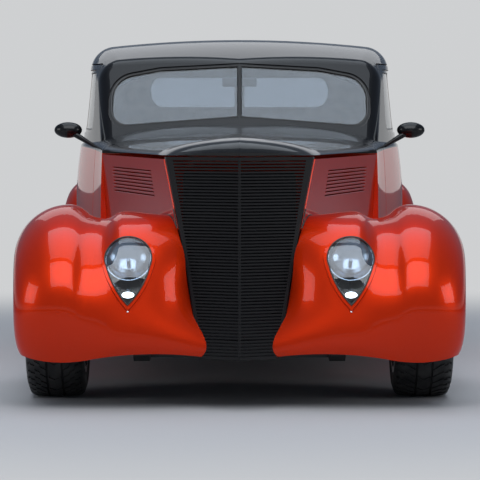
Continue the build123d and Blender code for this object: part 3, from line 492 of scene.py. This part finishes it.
# %% [markdown]
# ### Finishes on the CAD pieces
# A sheet-metal piece is painted outside and trimmed or undercoated inside. On these bulging shells a face is
# an inner one when it looks towards a point in the middle of what the shell surrounds, so each shell has
# such a point in the table, and its inner faces take the second finish.

# %% Tables of finishes
FINISHES = [
    (orange_red, ("front_fender", "rear_fender", "hood_side", "headlight_left", "headlight_right", "running_boards")),
    (two_tone, ("body_shell", "door_left", "door_right")),
    (gloss_black, ("hood_top", "mirror", "trunk_lid")),
    (grille_black, ("grille",)),
    (frame_black, ("chassis_frame", "front_suspension", "rear_axle")),
    (carpet, ("floor_pan",)),
    (window_glass, ("windshield",)),
    (dark_glass, ("door_glass", "rear_windows")),
    (lamp_glass, ("headlight_lenses",)),
    (tail_red, ("tail_lamps",)),
    (rubber, ("front_tyre", "rear_tyre")),
    (polished_rim, ("front_rim", "rear_rim")),
    (bare_steel, ("knuckle", "exhaust", "fuel_tank", "driveline")),
    (cast_iron, ("engine_block",)),
    (radiator_fins, ("radiator",)),
    (seat_leather, ("front_seat", "rear_seat")),
    (dash_black, ("dashboard", "steering_wheel")),
]
# node, inner finish, middle of what the shell surrounds (metres)
LININGS = [
    ("body_shell", headliner, (0, 0.75, 0.80)),
    ("door_left", seat_leather, (0.10, 0.25, 0.80)),
    ("door_right", seat_leather, (-0.10, 0.25, 0.80)),
    ("front_fender_left", undercoat, (0.66, -1.45, 0.34)),
    ("front_fender_right", undercoat, (-0.66, -1.45, 0.34)),
    ("rear_fender_left", undercoat, (0.66, 1.38, 0.36)),
    ("rear_fender_right", undercoat, (-0.66, 1.38, 0.36)),
    ("floor_pan", undercoat, (0, 0.6, -1.5)),
    ("trunk_lid", undercoat, (0, 1.55, 0.50)),
]
print(len(FINISHES), "outer finishes and", len(LININGS), "linings")

# %% Painting and lining the pieces
for name, obj in nodes.items():
    finish = next(finish for finish, starts in FINISHES if name.startswith(starts))
    obj.data.materials.clear()
    obj.data.materials.append(finish)
for name, lining, middle in LININGS:
    obj = nodes[name]
    obj.data.materials.append(lining)
    inner = [face for face in obj.data.polygons if face.normal.dot(face.center - Vector(middle)) < 0]
    for face in inner:
        face.material_index = 1
    print(name, "has", len(inner), "inner faces of", len(obj.data.polygons))

# %% [markdown]
# ### Lamp bowls
# Under its clear lens a headlight has a round mirror bowl, black round it, and a small oval lamp in the
# teardrop's point. The CAD piece has those hollows, so its faces only need the right finish: each face's
# distance from the lamp's own axis, which leans back, tells which part of the lamp it belongs to.

# %% Lamp bowls
LAMP_X = 0.415
LAMP_Y = -2.030
LAMP_Z = 0.565
LAMP_TILT = radians(27)
BOWL_RADIUS = 0.0872
BOWL_RIM_AHEAD = 0.0125
BLACK_DEPTH = -0.045
OVAL_BELOW = 0.138
OVAL_HALF_WIDTH = 0.025
OVAL_HALF_HEIGHT = 0.016
for side, sign in (("left", 1), ("right", -1)):
    obj = nodes["headlight_" + side]
    for finish in (reflector, gloss_black, chrome):
        obj.data.materials.append(finish)
    up = Vector((0, sin(LAMP_TILT), cos(LAMP_TILT)))
    ahead = Vector((0, -cos(LAMP_TILT), sin(LAMP_TILT)))
    bright = 0
    for face in obj.data.polygons:
        arm = face.center - Vector((sign * LAMP_X, LAMP_Y, LAMP_Z))
        from_axis = Vector((arm.x, arm.dot(up))).length
        below = -arm.dot(up)
        in_oval = (arm.x / OVAL_HALF_WIDTH) ** 2 + ((below - OVAL_BELOW) / OVAL_HALF_HEIGHT) ** 2 < 1
        if (from_axis < BOWL_RADIUS or in_oval) and arm.dot(ahead) < BOWL_RIM_AHEAD:
            face.material_index = 3 if in_oval else 1
            bright += 1
        elif arm.dot(ahead) < BLACK_DEPTH and face.normal.dot(ahead) > 0.6:
            face.material_index = 2
    print("headlight", side, bright, "mirror faces")

# %% [markdown]
# ## Seals and beads along edges
# Window rubbers, lamp gaskets and bright edges all follow an edge that the metal or glass already has. Such a
# bead could be swept along a drawn curve, but the piece's own edge is truer: a loose copy of the piece is cut
# down to the edges that are wanted, turned into a curve, given a round section, and made a mesh again.

# %% Working on one piece


def only(obj):
    """Leave obj alone selected and active, in object mode."""
    bpy.ops.object.select_all(action="DESELECT")
    obj.select_set(True)
    bpy.context.view_layer.objects.active = obj


def edit_all():
    """Enter edit mode with all of the active mesh selected."""
    bpy.ops.object.mode_set(mode="EDIT")
    bpy.ops.mesh.select_all(action="SELECT")


def smooth_out(degrees_apart=35):
    """Leave edit mode and shade smooth, with creases where faces turn by more than an angle."""
    bpy.ops.object.mode_set(mode="OBJECT")
    bpy.ops.object.shade_smooth_by_angle(angle=radians(degrees_apart))


def modify(kind, **settings):
    """Add a modifier to the active piece, set it and apply it."""
    bpy.ops.object.modifier_add(type=kind)
    modifier = bpy.context.object.modifiers[-1]
    for name, value in settings.items():
        setattr(modifier, name, value)
    bpy.ops.object.modifier_apply(modifier=modifier.name)


def dress(obj, name, finish, body):
    """Name a new piece, give it its finish, and let it ride on a body."""
    obj.name = name
    obj.data.name = name
    obj.data.materials.clear()
    obj.data.materials.append(finish)
    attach(obj, body)
    return obj


def loose_copy(node):
    """A merged copy of a CAD piece's mesh, as an object of its own."""
    obj = bpy.data.objects.new(node + "_copy", nodes[node].data.copy())
    bpy.context.scene.collection.objects.link(obj)
    only(obj)
    edit_all()
    bpy.ops.mesh.remove_doubles(threshold=0.00003)
    bpy.ops.object.mode_set(mode="OBJECT")
    return obj


print("piece helpers ready")

# %% Bead helpers


def edge_bead(node, wanted, radius, sharpness=35, sides=2):
    """A round bead along the sharp edges of a CAD piece that wanted(middle, normals) accepts."""
    obj = loose_copy(node)
    net = bmesh.new()
    net.from_mesh(obj.data)
    for edge in net.edges:
        looks = [face.normal for face in edge.link_faces]
        sharp = len(looks) == 2 and looks[0].angle(looks[1], 0) > radians(sharpness)
        middle = (edge.verts[0].co + edge.verts[1].co) / 2
        edge.select = not (sharp and wanted(middle, looks))
    bmesh.ops.delete(net, geom=[edge for edge in net.edges if edge.select], context="EDGES")
    bmesh.ops.delete(net, geom=[vert for vert in net.verts if not vert.link_edges], context="VERTS")
    net.to_mesh(obj.data)
    net.free()
    only(obj)
    bpy.ops.object.convert(target="CURVE")
    curve = bpy.context.object
    curve.data.bevel_depth = radius
    curve.data.bevel_resolution = sides
    curve.data.use_fill_caps = True
    bpy.ops.object.convert(target="MESH")
    bead = bpy.context.object
    bead.data.materials.clear()
    return bead


def faces_out(direction, least=0.5):
    """A test for edges beside a face that looks along direction."""
    aim = Vector(direction).normalized()
    return lambda middle, looks: max(look.dot(aim) for look in looks) > least


print("bead helpers ready")

# %% [markdown]
# ### Window seals
# Each pane sits in a black rubber that shows as a thin line round it. A pane's outer edges are those beside a
# face that looks outwards, and for the rear panes, which look three ways, away from the middle of the cabin.

# %% Window seals
SEALS = [
    ("windshield", "windshield_seal", "body", (0, -0.80, 0.60), 0.0065),
    ("door_glass_left", "door_glass_seal_left", "door_left_body", (1, 0, 0.2), 0.004),
    ("door_glass_right", "door_glass_seal_right", "door_right_body", (-1, 0, 0.2), 0.004),
]
for node, name, body, direction, radius in SEALS:
    seal = dress(edge_bead(node, faces_out(direction, 0.6), radius), name, seal_black, body)
    print(name, len(seal.data.polygons), "faces")
CABIN_MIDDLE = Vector((0, 0.9, 1.1))


def quarter_edge(middle, looks):
    """Edges of the rear side panes, on their outer side."""
    sideways = max(abs(look.x) for look in looks) > 0.7
    return sideways and any(look.dot(middle - CABIN_MIDDLE) > 0 for look in looks)


quarter_glass = edge_bead("rear_windows", quarter_edge, 0.004)
dress(quarter_glass, "rear_window_seals", seal_black, "body")
print("rear_window_seals", len(quarter_glass.data.polygons), "faces")

# %% [markdown]
# ### Lamp gaskets and tail lamp bezels
# The headlight's lens is bedded in a thin black gasket, and each tail lamp has a bright rolled bezel. Both
# follow the outer edge of the CAD piece, so the same helper makes them with another radius and finish.

# %% Lamp gaskets and bezels
gasket = edge_bead("headlight_lenses", faces_out((0, -0.85, 0.5), 0.6), 0.0028)
dress(gasket, "lamp_gaskets", seal_black, "body")
bezels = edge_bead("tail_lamps", faces_out((0, 1, 0), 0.7), 0.0045)
dress(bezels, "tail_lamp_bezels", chrome, "body")
print("gaskets and bezels", len(gasket.data.polygons), len(bezels.data.polygons), "faces")

# %% [markdown]
# ## Tyres
# A road tyre is a round body with a moulded tread, so it is made as on a lathe: the section is drawn as a
# closed ring of points and spun about the axle. The section already holds the two deep grooves that run
# round the crown. The cross cuts come next: on each band of tread every few faces are pushed in, and because
# the rings are twisted with their distance from the middle first, the cuts form the V of a directional tyre.
# One tyre is made for each size and side, because a directional tread is mirrored across the car.

# %% Tyre section
TREAD_STEPS = 192
GROOVE_DEPTH = 0.007
GROOVE_HALF = 0.005
GROOVE_SHARE = 0.26
CUT_DEPTH = 0.0045
CUT_EVERY = 4
SWEEP_PER_METRE = 2.6
CROWN_DEPTH = 0.028


def tyre_section(radius, width, rim):
    """The closed section of a tyre: distance from the middle plane, distance from the axle (metres)."""
    half = width / 2
    tread = radius - GROOVE_DEPTH
    groove = half * GROOVE_SHARE
    rise = (rim + radius) / 2 - 0.004
    outer = [
        (0, radius), (groove - GROOVE_HALF, radius), (groove - 0.003, tread), (groove + 0.003, tread),
        (groove + GROOVE_HALF, radius), (half * 0.50, radius - 0.0006), (half - 0.036, radius - 0.0015),
        (half - 0.020, radius - 0.005), (half - 0.011, radius - 0.012), (half - 0.006, radius - 0.022),
        (half - 0.002, radius - 0.036), (half, rise + 0.012), (half - 0.0002, rise - 0.004),
        (half - 0.0032, rise - 0.006), (half - 0.0034, rim + 0.030), (half - 0.006, rim + 0.022),
        (half - 0.0045, rim + 0.019), (half - 0.009, rim + 0.010), (half - 0.013, rim + 0.002),
        (half - 0.019, rim - 0.004), (half - 0.027, rim - 0.003), (half - 0.025, rim + 0.016),
        (half - 0.014, rise), (half - 0.022, radius - 0.030), (half - 0.040, radius - 0.019),
    ]
    mirrored = [(-across, out) for across, out in reversed(outer) if across > 0]
    return outer + mirrored


print(len(tyre_section(0.315, 0.225, 0.216)), "points round a tyre's section")

# %% Spinning and cutting a tyre


def tread_tyre(name, body, side, end, centre, radius, width, rim):
    """Spin one tyre about its axle, sweep its rings into a V and press in the cross cuts."""
    section = tyre_section(radius, width, rim)
    bpy.ops.object.select_all(action="DESELECT")
    bpy.ops.mesh.primitive_circle_add(vertices=len(section), radius=0.1, fill_type="NOTHING", location=(0, 0, 0))
    tyre = bpy.context.object
    for vert, (across, out) in zip(tyre.data.vertices, section):
        vert.co = Vector(centre) + Vector((across, 0, out))
    edit_all()
    bpy.ops.mesh.spin(steps=TREAD_STEPS, angle=2 * pi, center=centre, axis=(1, 0, 0))
    bpy.ops.mesh.select_all(action="SELECT")
    bpy.ops.mesh.remove_doubles(threshold=0.0001)
    bpy.ops.mesh.normals_make_consistent(inside=False)
    bpy.ops.mesh.select_all(action="DESELECT")
    bpy.ops.object.mode_set(mode="OBJECT")
    crown = radius - CROWN_DEPTH
    for vert in tyre.data.vertices:
        arm = vert.co - Vector(centre)
        out = Vector((arm.y, arm.z)).length
        if out > crown:
            turn = -SWEEP_PER_METRE * abs(arm.x) * (out - crown) / (radius - crown)
            vert.co.y = centre[1] + arm.y * cos(turn) - arm.z * sin(turn)
            vert.co.z = centre[2] + arm.y * sin(turn) + arm.z * cos(turn)
    pressed = 0
    groove = width / 2 * GROOVE_SHARE
    for face in tyre.data.polygons:
        arm = face.center - Vector(centre)
        out = Vector((arm.y, arm.z)).length
        turn = atan2(arm.y, arm.z) + SWEEP_PER_METRE * abs(arm.x) * max(0, (out - crown) / (radius - crown))
        step = round(turn / (2 * pi / TREAD_STEPS) - 0.5)
        on_band = abs(arm.x) > groove + 0.008 and out > radius - 0.019 and face.normal.dot(arm) > 0
        on_crown = abs(arm.x) < groove - 0.007 and out > radius - 0.004 and face.normal.dot(arm) > 0
        face.select = (on_band and step % CUT_EVERY == 0) or (on_crown and step % (2 * CUT_EVERY) == 0)
        pressed += face.select
    bpy.ops.object.mode_set(mode="EDIT")
    bpy.ops.mesh.select_mode(type="FACE")
    bpy.ops.mesh.extrude_region_shrink_fatten(TRANSFORM_OT_shrink_fatten={"value": -CUT_DEPTH})
    bpy.ops.object.mode_set(mode="OBJECT")
    bpy.ops.object.shade_smooth_by_angle(angle=radians(28))
    dress(tyre, name, rubber, body)
    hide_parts(f"{end}_tyre_{side}")
    print(name, len(tyre.data.polygons), "faces,", pressed, "cross-cut faces")


print("tyre helpers ready")

# %% Four tyres
# end, axle y and z, middle of the tyre from the centre line, radius, width, rim radius (metres)
TYRES = [("front", FRONT_AXLE_Y, 0.315, 0.710, 0.315, 0.225, 0.216),
         ("rear", REAR_AXLE_Y, 0.355, 0.715, 0.355, 0.265, 0.241)]
for end, y, z, x, radius, width, rim in TYRES:
    for side, sign in (("left", 1), ("right", -1)):
        centre = (sign * x, y, z)
        tread_tyre(f"treaded_{end}_tyre_{side}", f"wheel_{end}_{side}", side, end, centre, radius, width, rim)

# %% [markdown]
# ## Small fittings on the surface
# Studs, nuts and gauges must sit exactly on the skin. Typing their places from a drawing would leave gaps
# on such curved panels, so each place is found by casting a ray at the CAD piece and reading where it lands.

# %% Finding the skin


def skin_at(node, start, direction):
    """Where a ray from start meets a CAD piece, with the surface's normal."""
    hit, place, normal, _ = nodes[node].ray_cast(Vector(start), Vector(direction).normalized())
    if not hit:
        raise RuntimeError(f"the ray misses {node}")
    return place, normal


def facing(direction):
    """The turn that brings +Z to a direction."""
    return Vector(direction).to_track_quat("Z", "Y").to_matrix().to_4x4()


print("lamp stud lands at", skin_at("headlight_left", (0.415, -3, 0.371), (0, 1, 0))[0])

# %% [markdown]
# ### Blocks and discs
# Most fittings are a block with rounded edges or a turned disc. Both start as a primitive and get their edges
# in edit mode: a sharp edge would catch no light. A dial is a disc whose outer face is stepped in.

# %% Blocks and discs


def rounded_block(centre, size, bevel, segments=3):
    """A block with rounded edges, its place in its mesh."""
    bpy.ops.object.select_all(action="DESELECT")
    bpy.ops.mesh.primitive_cube_add(size=1, location=centre)
    block = bpy.context.object
    block.scale = size
    bpy.ops.object.transform_apply(location=True, rotation=False, scale=True)
    edit_all()
    bpy.ops.mesh.bevel(offset=bevel, segments=segments, affect="EDGES")
    smooth_out()
    return block


def turned_disc(centre, radius, depth, axis, inset=0.0, sink=0.0, vertices=40):
    """A disc with bevelled rims; with inset, its outer face is stepped in by sink."""
    bpy.ops.object.select_all(action="DESELECT")
    bpy.ops.mesh.primitive_cylinder_add(vertices=vertices, radius=radius, depth=depth, location=(0, 0, 0))
    disc = bpy.context.object
    bpy.ops.object.mode_set(mode="EDIT")
    bpy.ops.mesh.select_all(action="DESELECT")
    net = bmesh.from_edit_mesh(disc.data)
    for face in net.faces:
        face.select_set(face.normal.z > 0.9)
    bmesh.update_edit_mesh(disc.data)
    if inset:
        bpy.ops.mesh.inset(thickness=inset)
        bpy.ops.transform.translate(value=(0, 0, -sink))
    else:
        bpy.ops.mesh.bevel(offset=min(radius, depth) * 0.25, segments=3, affect="EDGES")
    bpy.ops.object.mode_set(mode="OBJECT")
    disc.data.transform(Matrix.Translation(centre) @ facing(axis))
    bpy.ops.object.shade_smooth_by_angle(angle=radians(35))
    return disc


def joined(parts):
    """Join new pieces into one mesh."""
    bpy.ops.object.select_all(action="DESELECT")
    for part in parts:
        part.select_set(True)
    bpy.context.view_layer.objects.active = parts[0]
    if len(parts) > 1:
        bpy.ops.object.join()
    return bpy.context.object


print("block and disc helpers ready")

# %% [markdown]
# ### Studs and outside mirrors
# A small bright stud closes the point of each lamp's rim. The outside mirrors are teardrop shells on tapered
# arms: the shell's flat rear face is the mirror glass, and the arm starts as a cone, which already tapers.

# %% Studs, mirror glass and arms
MIRROR_TOP = (0.728, -0.131, 1.018)
MIRROR_FOOT = (0.632, -0.130, 0.959)
for side, sign in (("left", 1), ("right", -1)):
    stud_place, normal = skin_at("headlight_" + side, (sign * 0.415, -3, 0.371), (0, 1, 0))
    stud = turned_disc(stud_place + normal * 0.001, 0.0055, 0.006, normal, vertices=24)
    dress(stud, "lamp_stud_" + side, chrome, "body")
    mirror = nodes["mirror_" + side]
    mirror.data.materials.append(chrome)
    for face in mirror.data.polygons:
        if face.normal.y > 0.95 and face.center.z > 0.99:
            face.material_index = 1
    top = Vector((sign * MIRROR_TOP[0], *MIRROR_TOP[1:]))
    foot = Vector((sign * MIRROR_FOOT[0], *MIRROR_FOOT[1:]))
    bpy.ops.object.select_all(action="DESELECT")
    bpy.ops.mesh.primitive_cone_add(vertices=28, radius1=0.007, radius2=0.0135, depth=(top - foot).length)
    arm = bpy.context.object
    edit_all()
    bpy.ops.mesh.bevel(offset=0.002, segments=2, affect="EDGES")
    bpy.ops.object.mode_set(mode="OBJECT")
    arm.data.transform(Matrix.Translation((top + foot) / 2) @ facing(top - foot))
    bpy.ops.object.shade_smooth_by_angle(angle=radians(35))
    dress(arm, "mirror_arm_" + side, gloss_black, f"door_{side}_body")
print("studs, mirror glass and arms placed")

# %% [markdown]
# ### Louvre lips and fender welting
# The slots in the hood sides have lips rolled up from the sheet, and a soft welt keeps the fender from rubbing on
# the hood side. Both follow edges of the hood side, told apart by their place: the slots' upper edges, and
# the foot along the fender.

# %% Louvre lips and fender welting
for side, sign in (("left", 1), ("right", -1)):
    def lip_edge(middle, looks, sign=sign):
        at_slot = 0.78 < middle.z < 0.895 and -1.515 < middle.y < -0.725
        return at_slot and max(look.x * sign for look in looks) > 0.6 and max(look.z for look in looks) > 0.9

    def foot_edge(middle, looks, sign=sign):
        return middle.z < 0.745 and -1.88 < middle.y < -0.53 and max(look.x * sign for look in looks) > 0.5

    lips = edge_bead("hood_side_" + side, lip_edge, 0.0016, 50, 1)
    dress(lips, "louvre_lips_" + side, orange_red, "body")
    welt = edge_bead("hood_side_" + side, foot_edge, 0.0028, 40, 2)
    dress(welt, "fender_welt_" + side, seal_black, "body")
    print(side, "lips", len(lips.data.polygons), "welt", len(welt.data.polygons), "faces")

# %% [markdown]
# ### Running-board ribs and exhaust tips
# Six rubber ribs run along each running board, each seated where a ray meets the board. Each tail pipe ends in
# a bright rolled lip, a ring that is drawn out along the pipe.

# %% Running-board ribs and exhaust tips
RIB_PITCH = 0.019
EXHAUST_END = (0.285, 2.109, 0.182)
for side, sign in (("left", 1), ("right", -1)):
    ribs = []
    for step in range(6):
        across = sign * (0.715 + RIB_PITCH * step)
        place, _ = skin_at("running_boards", (across, -0.05, 0.6), (0, 0, -1))
        ribs.append(rounded_block(place + Vector((0, 0, 0.0012)), (0.009, 1.16, 0.0046), 0.0018, 2))
    dress(joined(ribs), "board_ribs_" + side, seal_black, "body")
    bpy.ops.object.select_all(action="DESELECT")
    centre = (sign * EXHAUST_END[0], *EXHAUST_END[1:])
    bpy.ops.mesh.primitive_torus_add(major_radius=0.0255, minor_radius=0.0032, major_segments=48, minor_segments=12,
                                     location=centre, rotation=(radians(90), 0, 0))
    bpy.ops.object.transform_apply(location=True, rotation=True, scale=True)
    tip = bpy.context.object
    edit_all()
    bpy.ops.transform.resize(value=(1, 1.9, 1), center_override=centre)
    bpy.ops.object.mode_set(mode="OBJECT")
    bpy.ops.object.shade_smooth()
    dress(tip, "exhaust_tip_" + side, chrome, "body")
print("board ribs and exhaust tips placed")

# %% [markdown]
# ## Side aprons
# Between the hood side and the running board the real car closes the engine room with a plain steel apron. It
# is a sheet with one pressed rib, so a plane is set between four points found on the hood side, divided so that
# the rib can be raised from it, and then given its thickness.

# %% Side aprons
APRON_LOW_Z = 0.236
APRON_FRONT_Y = -1.04
APRON_REAR_Y = -0.507
for side, sign in (("left", 1), ("right", -1)):
    top_front, _ = skin_at("hood_side_" + side, (sign * 2, -0.93, 0.655), (-sign, 0, 0))
    top_rear, _ = skin_at("hood_side_" + side, (sign * 2, APRON_REAR_Y - 0.006, 0.415), (-sign, 0, 0))
    front_x = top_front.x - sign * 0.030
    rear_x = top_rear.x - sign * 0.012
    bpy.ops.object.select_all(action="DESELECT")
    bpy.ops.mesh.primitive_plane_add(size=1)
    apron = bpy.context.object
    corners = [(front_x, APRON_FRONT_Y, APRON_LOW_Z), (rear_x, APRON_REAR_Y, APRON_LOW_Z),
               (front_x, APRON_FRONT_Y, 0.50), (rear_x, APRON_REAR_Y, 0.43)]
    for vert, corner in zip(apron.data.vertices, corners):
        vert.co = corner
    edit_all()
    bpy.ops.mesh.subdivide(number_cuts=7)
    bpy.ops.object.mode_set(mode="OBJECT")
    for vert in apron.data.vertices:
        along = (vert.co.y - APRON_FRONT_Y) / (APRON_REAR_Y - APRON_FRONT_Y)
        rib = 0.004 if 0.2 < along < 0.8 and 0.28 < vert.co.z < 0.38 else 0.0
        vert.co.x += sign * rib
    modify("SOLIDIFY", thickness=0.003)
    bpy.ops.object.shade_smooth_by_angle(angle=radians(25))
    dress(apron, "side_apron_" + side, orange_red, "body")
    print("apron", side, "from x", round(front_x, 3), "to", round(rear_x, 3))

# %% [markdown]
# ## Wheels
# Each polished rim is held by five nuts round a dust cap, and both turn with the wheel. They stand on the
# hub's outer face, which is found by a ray, so they are seated at any depth of rim.

# %% Nuts and caps
NUT_CIRCLE = 0.057
NUTS = 5
for end, y, z, *_ in TYRES:
    for side, sign in (("left", 1), ("right", -1)):
        rim_node = f"{end}_rim_{side}"
        inwards = (-sign, 0, 0)
        face_place, _ = skin_at(rim_node, (sign * 2, y, z + 0.045), inwards)
        hub = Vector((face_place.x, y, z))
        cap = turned_disc(hub + Vector((sign * 0.004, 0, 0)), 0.032, 0.018, (sign, 0, 0), 0.007, 0.0025)
        nuts = []
        for index in range(NUTS):
            turn = 2 * pi * index / NUTS
            spot, _ = skin_at(rim_node, (sign * 2, y + NUT_CIRCLE * sin(turn), z + NUT_CIRCLE * cos(turn)), inwards)
            nuts.append(turned_disc(spot + Vector((sign * 0.006, 0, 0)), 0.0105, 0.018, (sign, 0, 0), vertices=6))
        dress(joined([cap, *nuts]), f"{end}_cap_and_nuts_{side}", chrome, f"wheel_{end}_{side}")
print("caps and nuts on", len(TYRES) * 2, "wheels")

# %% [markdown]
# ## Rear-view mirror
# It hangs from the header behind the windshield's middle bar: a rounded block for the mirror and a turned stem.

# %% Rear-view mirror
glass_back = rounded_block((0, -0.150, 1.243), (0.150, 0.016, 0.042), 0.006, 3)
stem = turned_disc((0, -0.140, 1.282), 0.006, 0.075, (0, 0.10, 1), vertices=20)
dress(joined([glass_back, stem]), "rear_view_mirror", dash_black, "body")
print("rear-view mirror hangs at 1.243 m")

# %% [markdown]
# ## Dashboard
# The dashboard carries five round gauges: two large ones ahead of the wheel and three small ones in the middle,
# each a dark dial sunk in a bright bezel.

# %% Gauges
# across, height, radius (metres)
GAUGES = [(0.395, 0.885, 0.042), (0.265, 0.885, 0.042),
          (0.085, 0.885, 0.026), (0.0, 0.885, 0.026), (-0.085, 0.885, 0.026)]
bezel_parts = []
dial_parts = []
for across, height, radius in GAUGES:
    place, normal = skin_at("dashboard", (across, 0.4, height), (0, -1, 0))
    dial_parts.append(turned_disc(place + normal * 0.001, radius * 0.97, 0.008, normal, radius * 0.12, 0.002))
    bpy.ops.object.select_all(action="DESELECT")
    bpy.ops.mesh.primitive_torus_add(major_radius=radius, minor_radius=0.0036, major_segments=40, minor_segments=10)
    ring = bpy.context.object
    edit_all()
    bpy.ops.transform.resize(value=(1, 1, 0.7), center_override=(0, 0, 0))
    bpy.ops.object.mode_set(mode="OBJECT")
    ring.data.transform(Matrix.Translation(place + normal * 0.004) @ facing(normal))
    bpy.ops.object.shade_smooth()
    bezel_parts.append(ring)
dress(joined(dial_parts), "gauge_dials", seal_black, "body")
dress(joined(bezel_parts), "gauge_bezels", chrome, "body")
print(len(GAUGES), "gauges")

# %% [markdown]
# ## Seats
# Each seat is a sprung base under stuffed leather cushions. A cushion's shape is what its stuffing makes of
# the sewn cover: it bulges between its edges. So each cushion starts as a slightly too small block, its skin
# is divided finely, and a cloth simulation with air pressure inside swells it. The travel is scaled to a most
# that keeps the crown, and the sewn channels are pressed in afterwards, because they are finer than the
# simulated skin.

# %% Swelling a cushion
CUSHION_SKIN = 0.010
SWELL_FRAMES = 20
CHANNEL_PITCH = 0.0605
CHANNEL_DEPTH = 0.0065
CHANNEL_HALF = 0.011
print("cushion skin", CUSHION_SKIN, "m, channels every", CHANNEL_PITCH, "m")


def swollen(cushion, most):
    """Swell a closed skin with the cloth solver and scale the travel so that no point moves further than most."""
    start = [vert.co.copy() for vert in cushion.data.vertices]
    only(cushion)
    bpy.ops.object.modifier_add(type="CLOTH")
    cloth = cushion.modifiers[-1]
    cloth.settings.quality = 5
    cloth.settings.mass = 0.3
    cloth.settings.tension_stiffness = 12
    cloth.settings.compression_stiffness = 12
    cloth.settings.bending_stiffness = 0.8
    cloth.settings.use_pressure = True
    cloth.settings.uniform_pressure_force = 4
    cloth.settings.effector_weights.gravity = 0
    cloth.point_cache.frame_start = 1
    cloth.point_cache.frame_end = SWELL_FRAMES
    scene = bpy.context.scene
    for frame_number in range(1, SWELL_FRAMES + 1):
        scene.frame_set(frame_number)
    shaped = cushion.evaluated_get(bpy.context.evaluated_depsgraph_get())
    moved = [vert.co.copy() for vert in shaped.data.vertices]
    bpy.ops.object.modifier_remove(modifier=cloth.name)
    scene.frame_set(1)
    reach = max((after - before).length for before, after in zip(start, moved))
    share = min(1.0, most / reach)
    for vert, before, after in zip(cushion.data.vertices, start, moved):
        vert.co = before + (after - before) * share
    return reach * share


# %% A cushion and a seat base


def cushion(size, most):
    """A stuffed cushion about the origin: its seat face looks along +Z and its channels run along Y."""
    pad = rounded_block((0, 0, 0), size, min(size) * 0.32, 4)
    only(pad)
    modify("REMESH", mode="VOXEL", voxel_size=CUSHION_SKIN)
    reach = swollen(pad, most)
    modify("SUBSURF", levels=1, render_levels=1)
    channels = int((size[0] - 0.09) / CHANNEL_PITCH)
    for vert in pad.data.vertices:
        if vert.normal.z > 0.35:
            slot = (vert.co.x / CHANNEL_PITCH + 0.5 * (channels % 2)) % 1.0
            near = min(slot, 1 - slot) * CHANNEL_PITCH
            inside = abs(vert.co.x) < channels * CHANNEL_PITCH / 2 + 0.01
            if near < CHANNEL_HALF and inside and abs(vert.co.y) < size[1] / 2 - 0.035:
                vert.co.z -= CHANNEL_DEPTH * (0.5 + 0.5 * cos(pi * near / CHANNEL_HALF))
    bpy.ops.object.shade_smooth()
    print("cushion", size, len(pad.data.polygons), "faces, swelled", round(reach, 4))
    return pad


def seat_base(profile, half_width):
    """A block drawn by its side profile (y, z) and drawn out across the car."""
    bpy.ops.object.select_all(action="DESELECT")
    bpy.ops.mesh.primitive_circle_add(vertices=len(profile), radius=0.1, fill_type="NGON")
    base = bpy.context.object
    for vert, (y, z) in zip(base.data.vertices, profile):
        vert.co = (-half_width, y, z)
    edit_all()
    bpy.ops.mesh.extrude_region_move(TRANSFORM_OT_translate={"value": (2 * half_width, 0, 0)})
    bpy.ops.mesh.select_all(action="SELECT")
    bpy.ops.mesh.normals_make_consistent(inside=False)
    bpy.ops.mesh.bevel(offset=0.014, segments=3, affect="EDGES")
    smooth_out()
    return base


def leaning(angle):
    """The turn that stands a cushion up as a backrest, leaning back by angle."""
    lean = radians(angle)
    return Matrix(((1, 0, 0, 0), (0, sin(lean), -cos(lean), 0), (0, cos(lean), sin(lean), 0), (0, 0, 0, 1)))


print("cushion helpers ready")

# %% [markdown]
# ### The cushions in their places
# The car has two seats in front and a bench behind, so there are four kinds of cushion. Each kind is swollen
# once and copied to the other side, and its sprung base is drawn by the side profile.

# %% Four kinds of cushion, both sides
# seat, part, size (m), most travel, place (y, z), lean of a backrest or tilt of a seat in degrees
CUSHIONS = [
    ("front_seat", "cushion", (0.480, 0.400, 0.100), 0.024, (0.285, 0.452), 2.5),
    ("front_seat", "backrest", (0.480, 0.465, 0.100), 0.024, (0.617, 0.728), 16.3),
    ("rear_seat", "cushion", (0.480, 0.335, 0.090), 0.022, (1.070, 0.646), 2.0),
    ("rear_seat", "backrest", (0.480, 0.300, 0.100), 0.022, (1.362, 0.850), 15.7),
]
BASES = [
    ("front_seat", [(0.095, 0.256), (0.545, 0.256), (0.612, 0.480), (0.500, 0.480), (0.105, 0.425)]),
    ("rear_seat", [(0.900, 0.530), (1.395, 0.530), (1.425, 0.745), (1.265, 0.700), (0.905, 0.612)]),
]
for seat, profile in BASES:
    base = dress(seat_base(profile, 0.500), seat + "_base", seat_leather, "body")
    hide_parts(seat)
for seat, part, size, most, (y, z), angle in CUSHIONS:
    pad = cushion(size, most)
    turn = leaning(angle) if part == "backrest" else Matrix.Rotation(radians(-angle), 4, "X")
    for side, sign in (("left", 1), ("right", -1)):
        placed = bpy.data.objects.new(f"{seat}_{part}_{side}", pad.data.copy())
        bpy.context.scene.collection.objects.link(placed)
        placed.data.transform(Matrix.Translation((sign * 0.252, y, z)) @ turn)
        dress(placed, f"{seat}_{part}_{side}", seat_leather, "body")
    bpy.data.objects.remove(pad)
print(len(CUSHIONS) * 2, "cushions on", len(BASES), "bases")
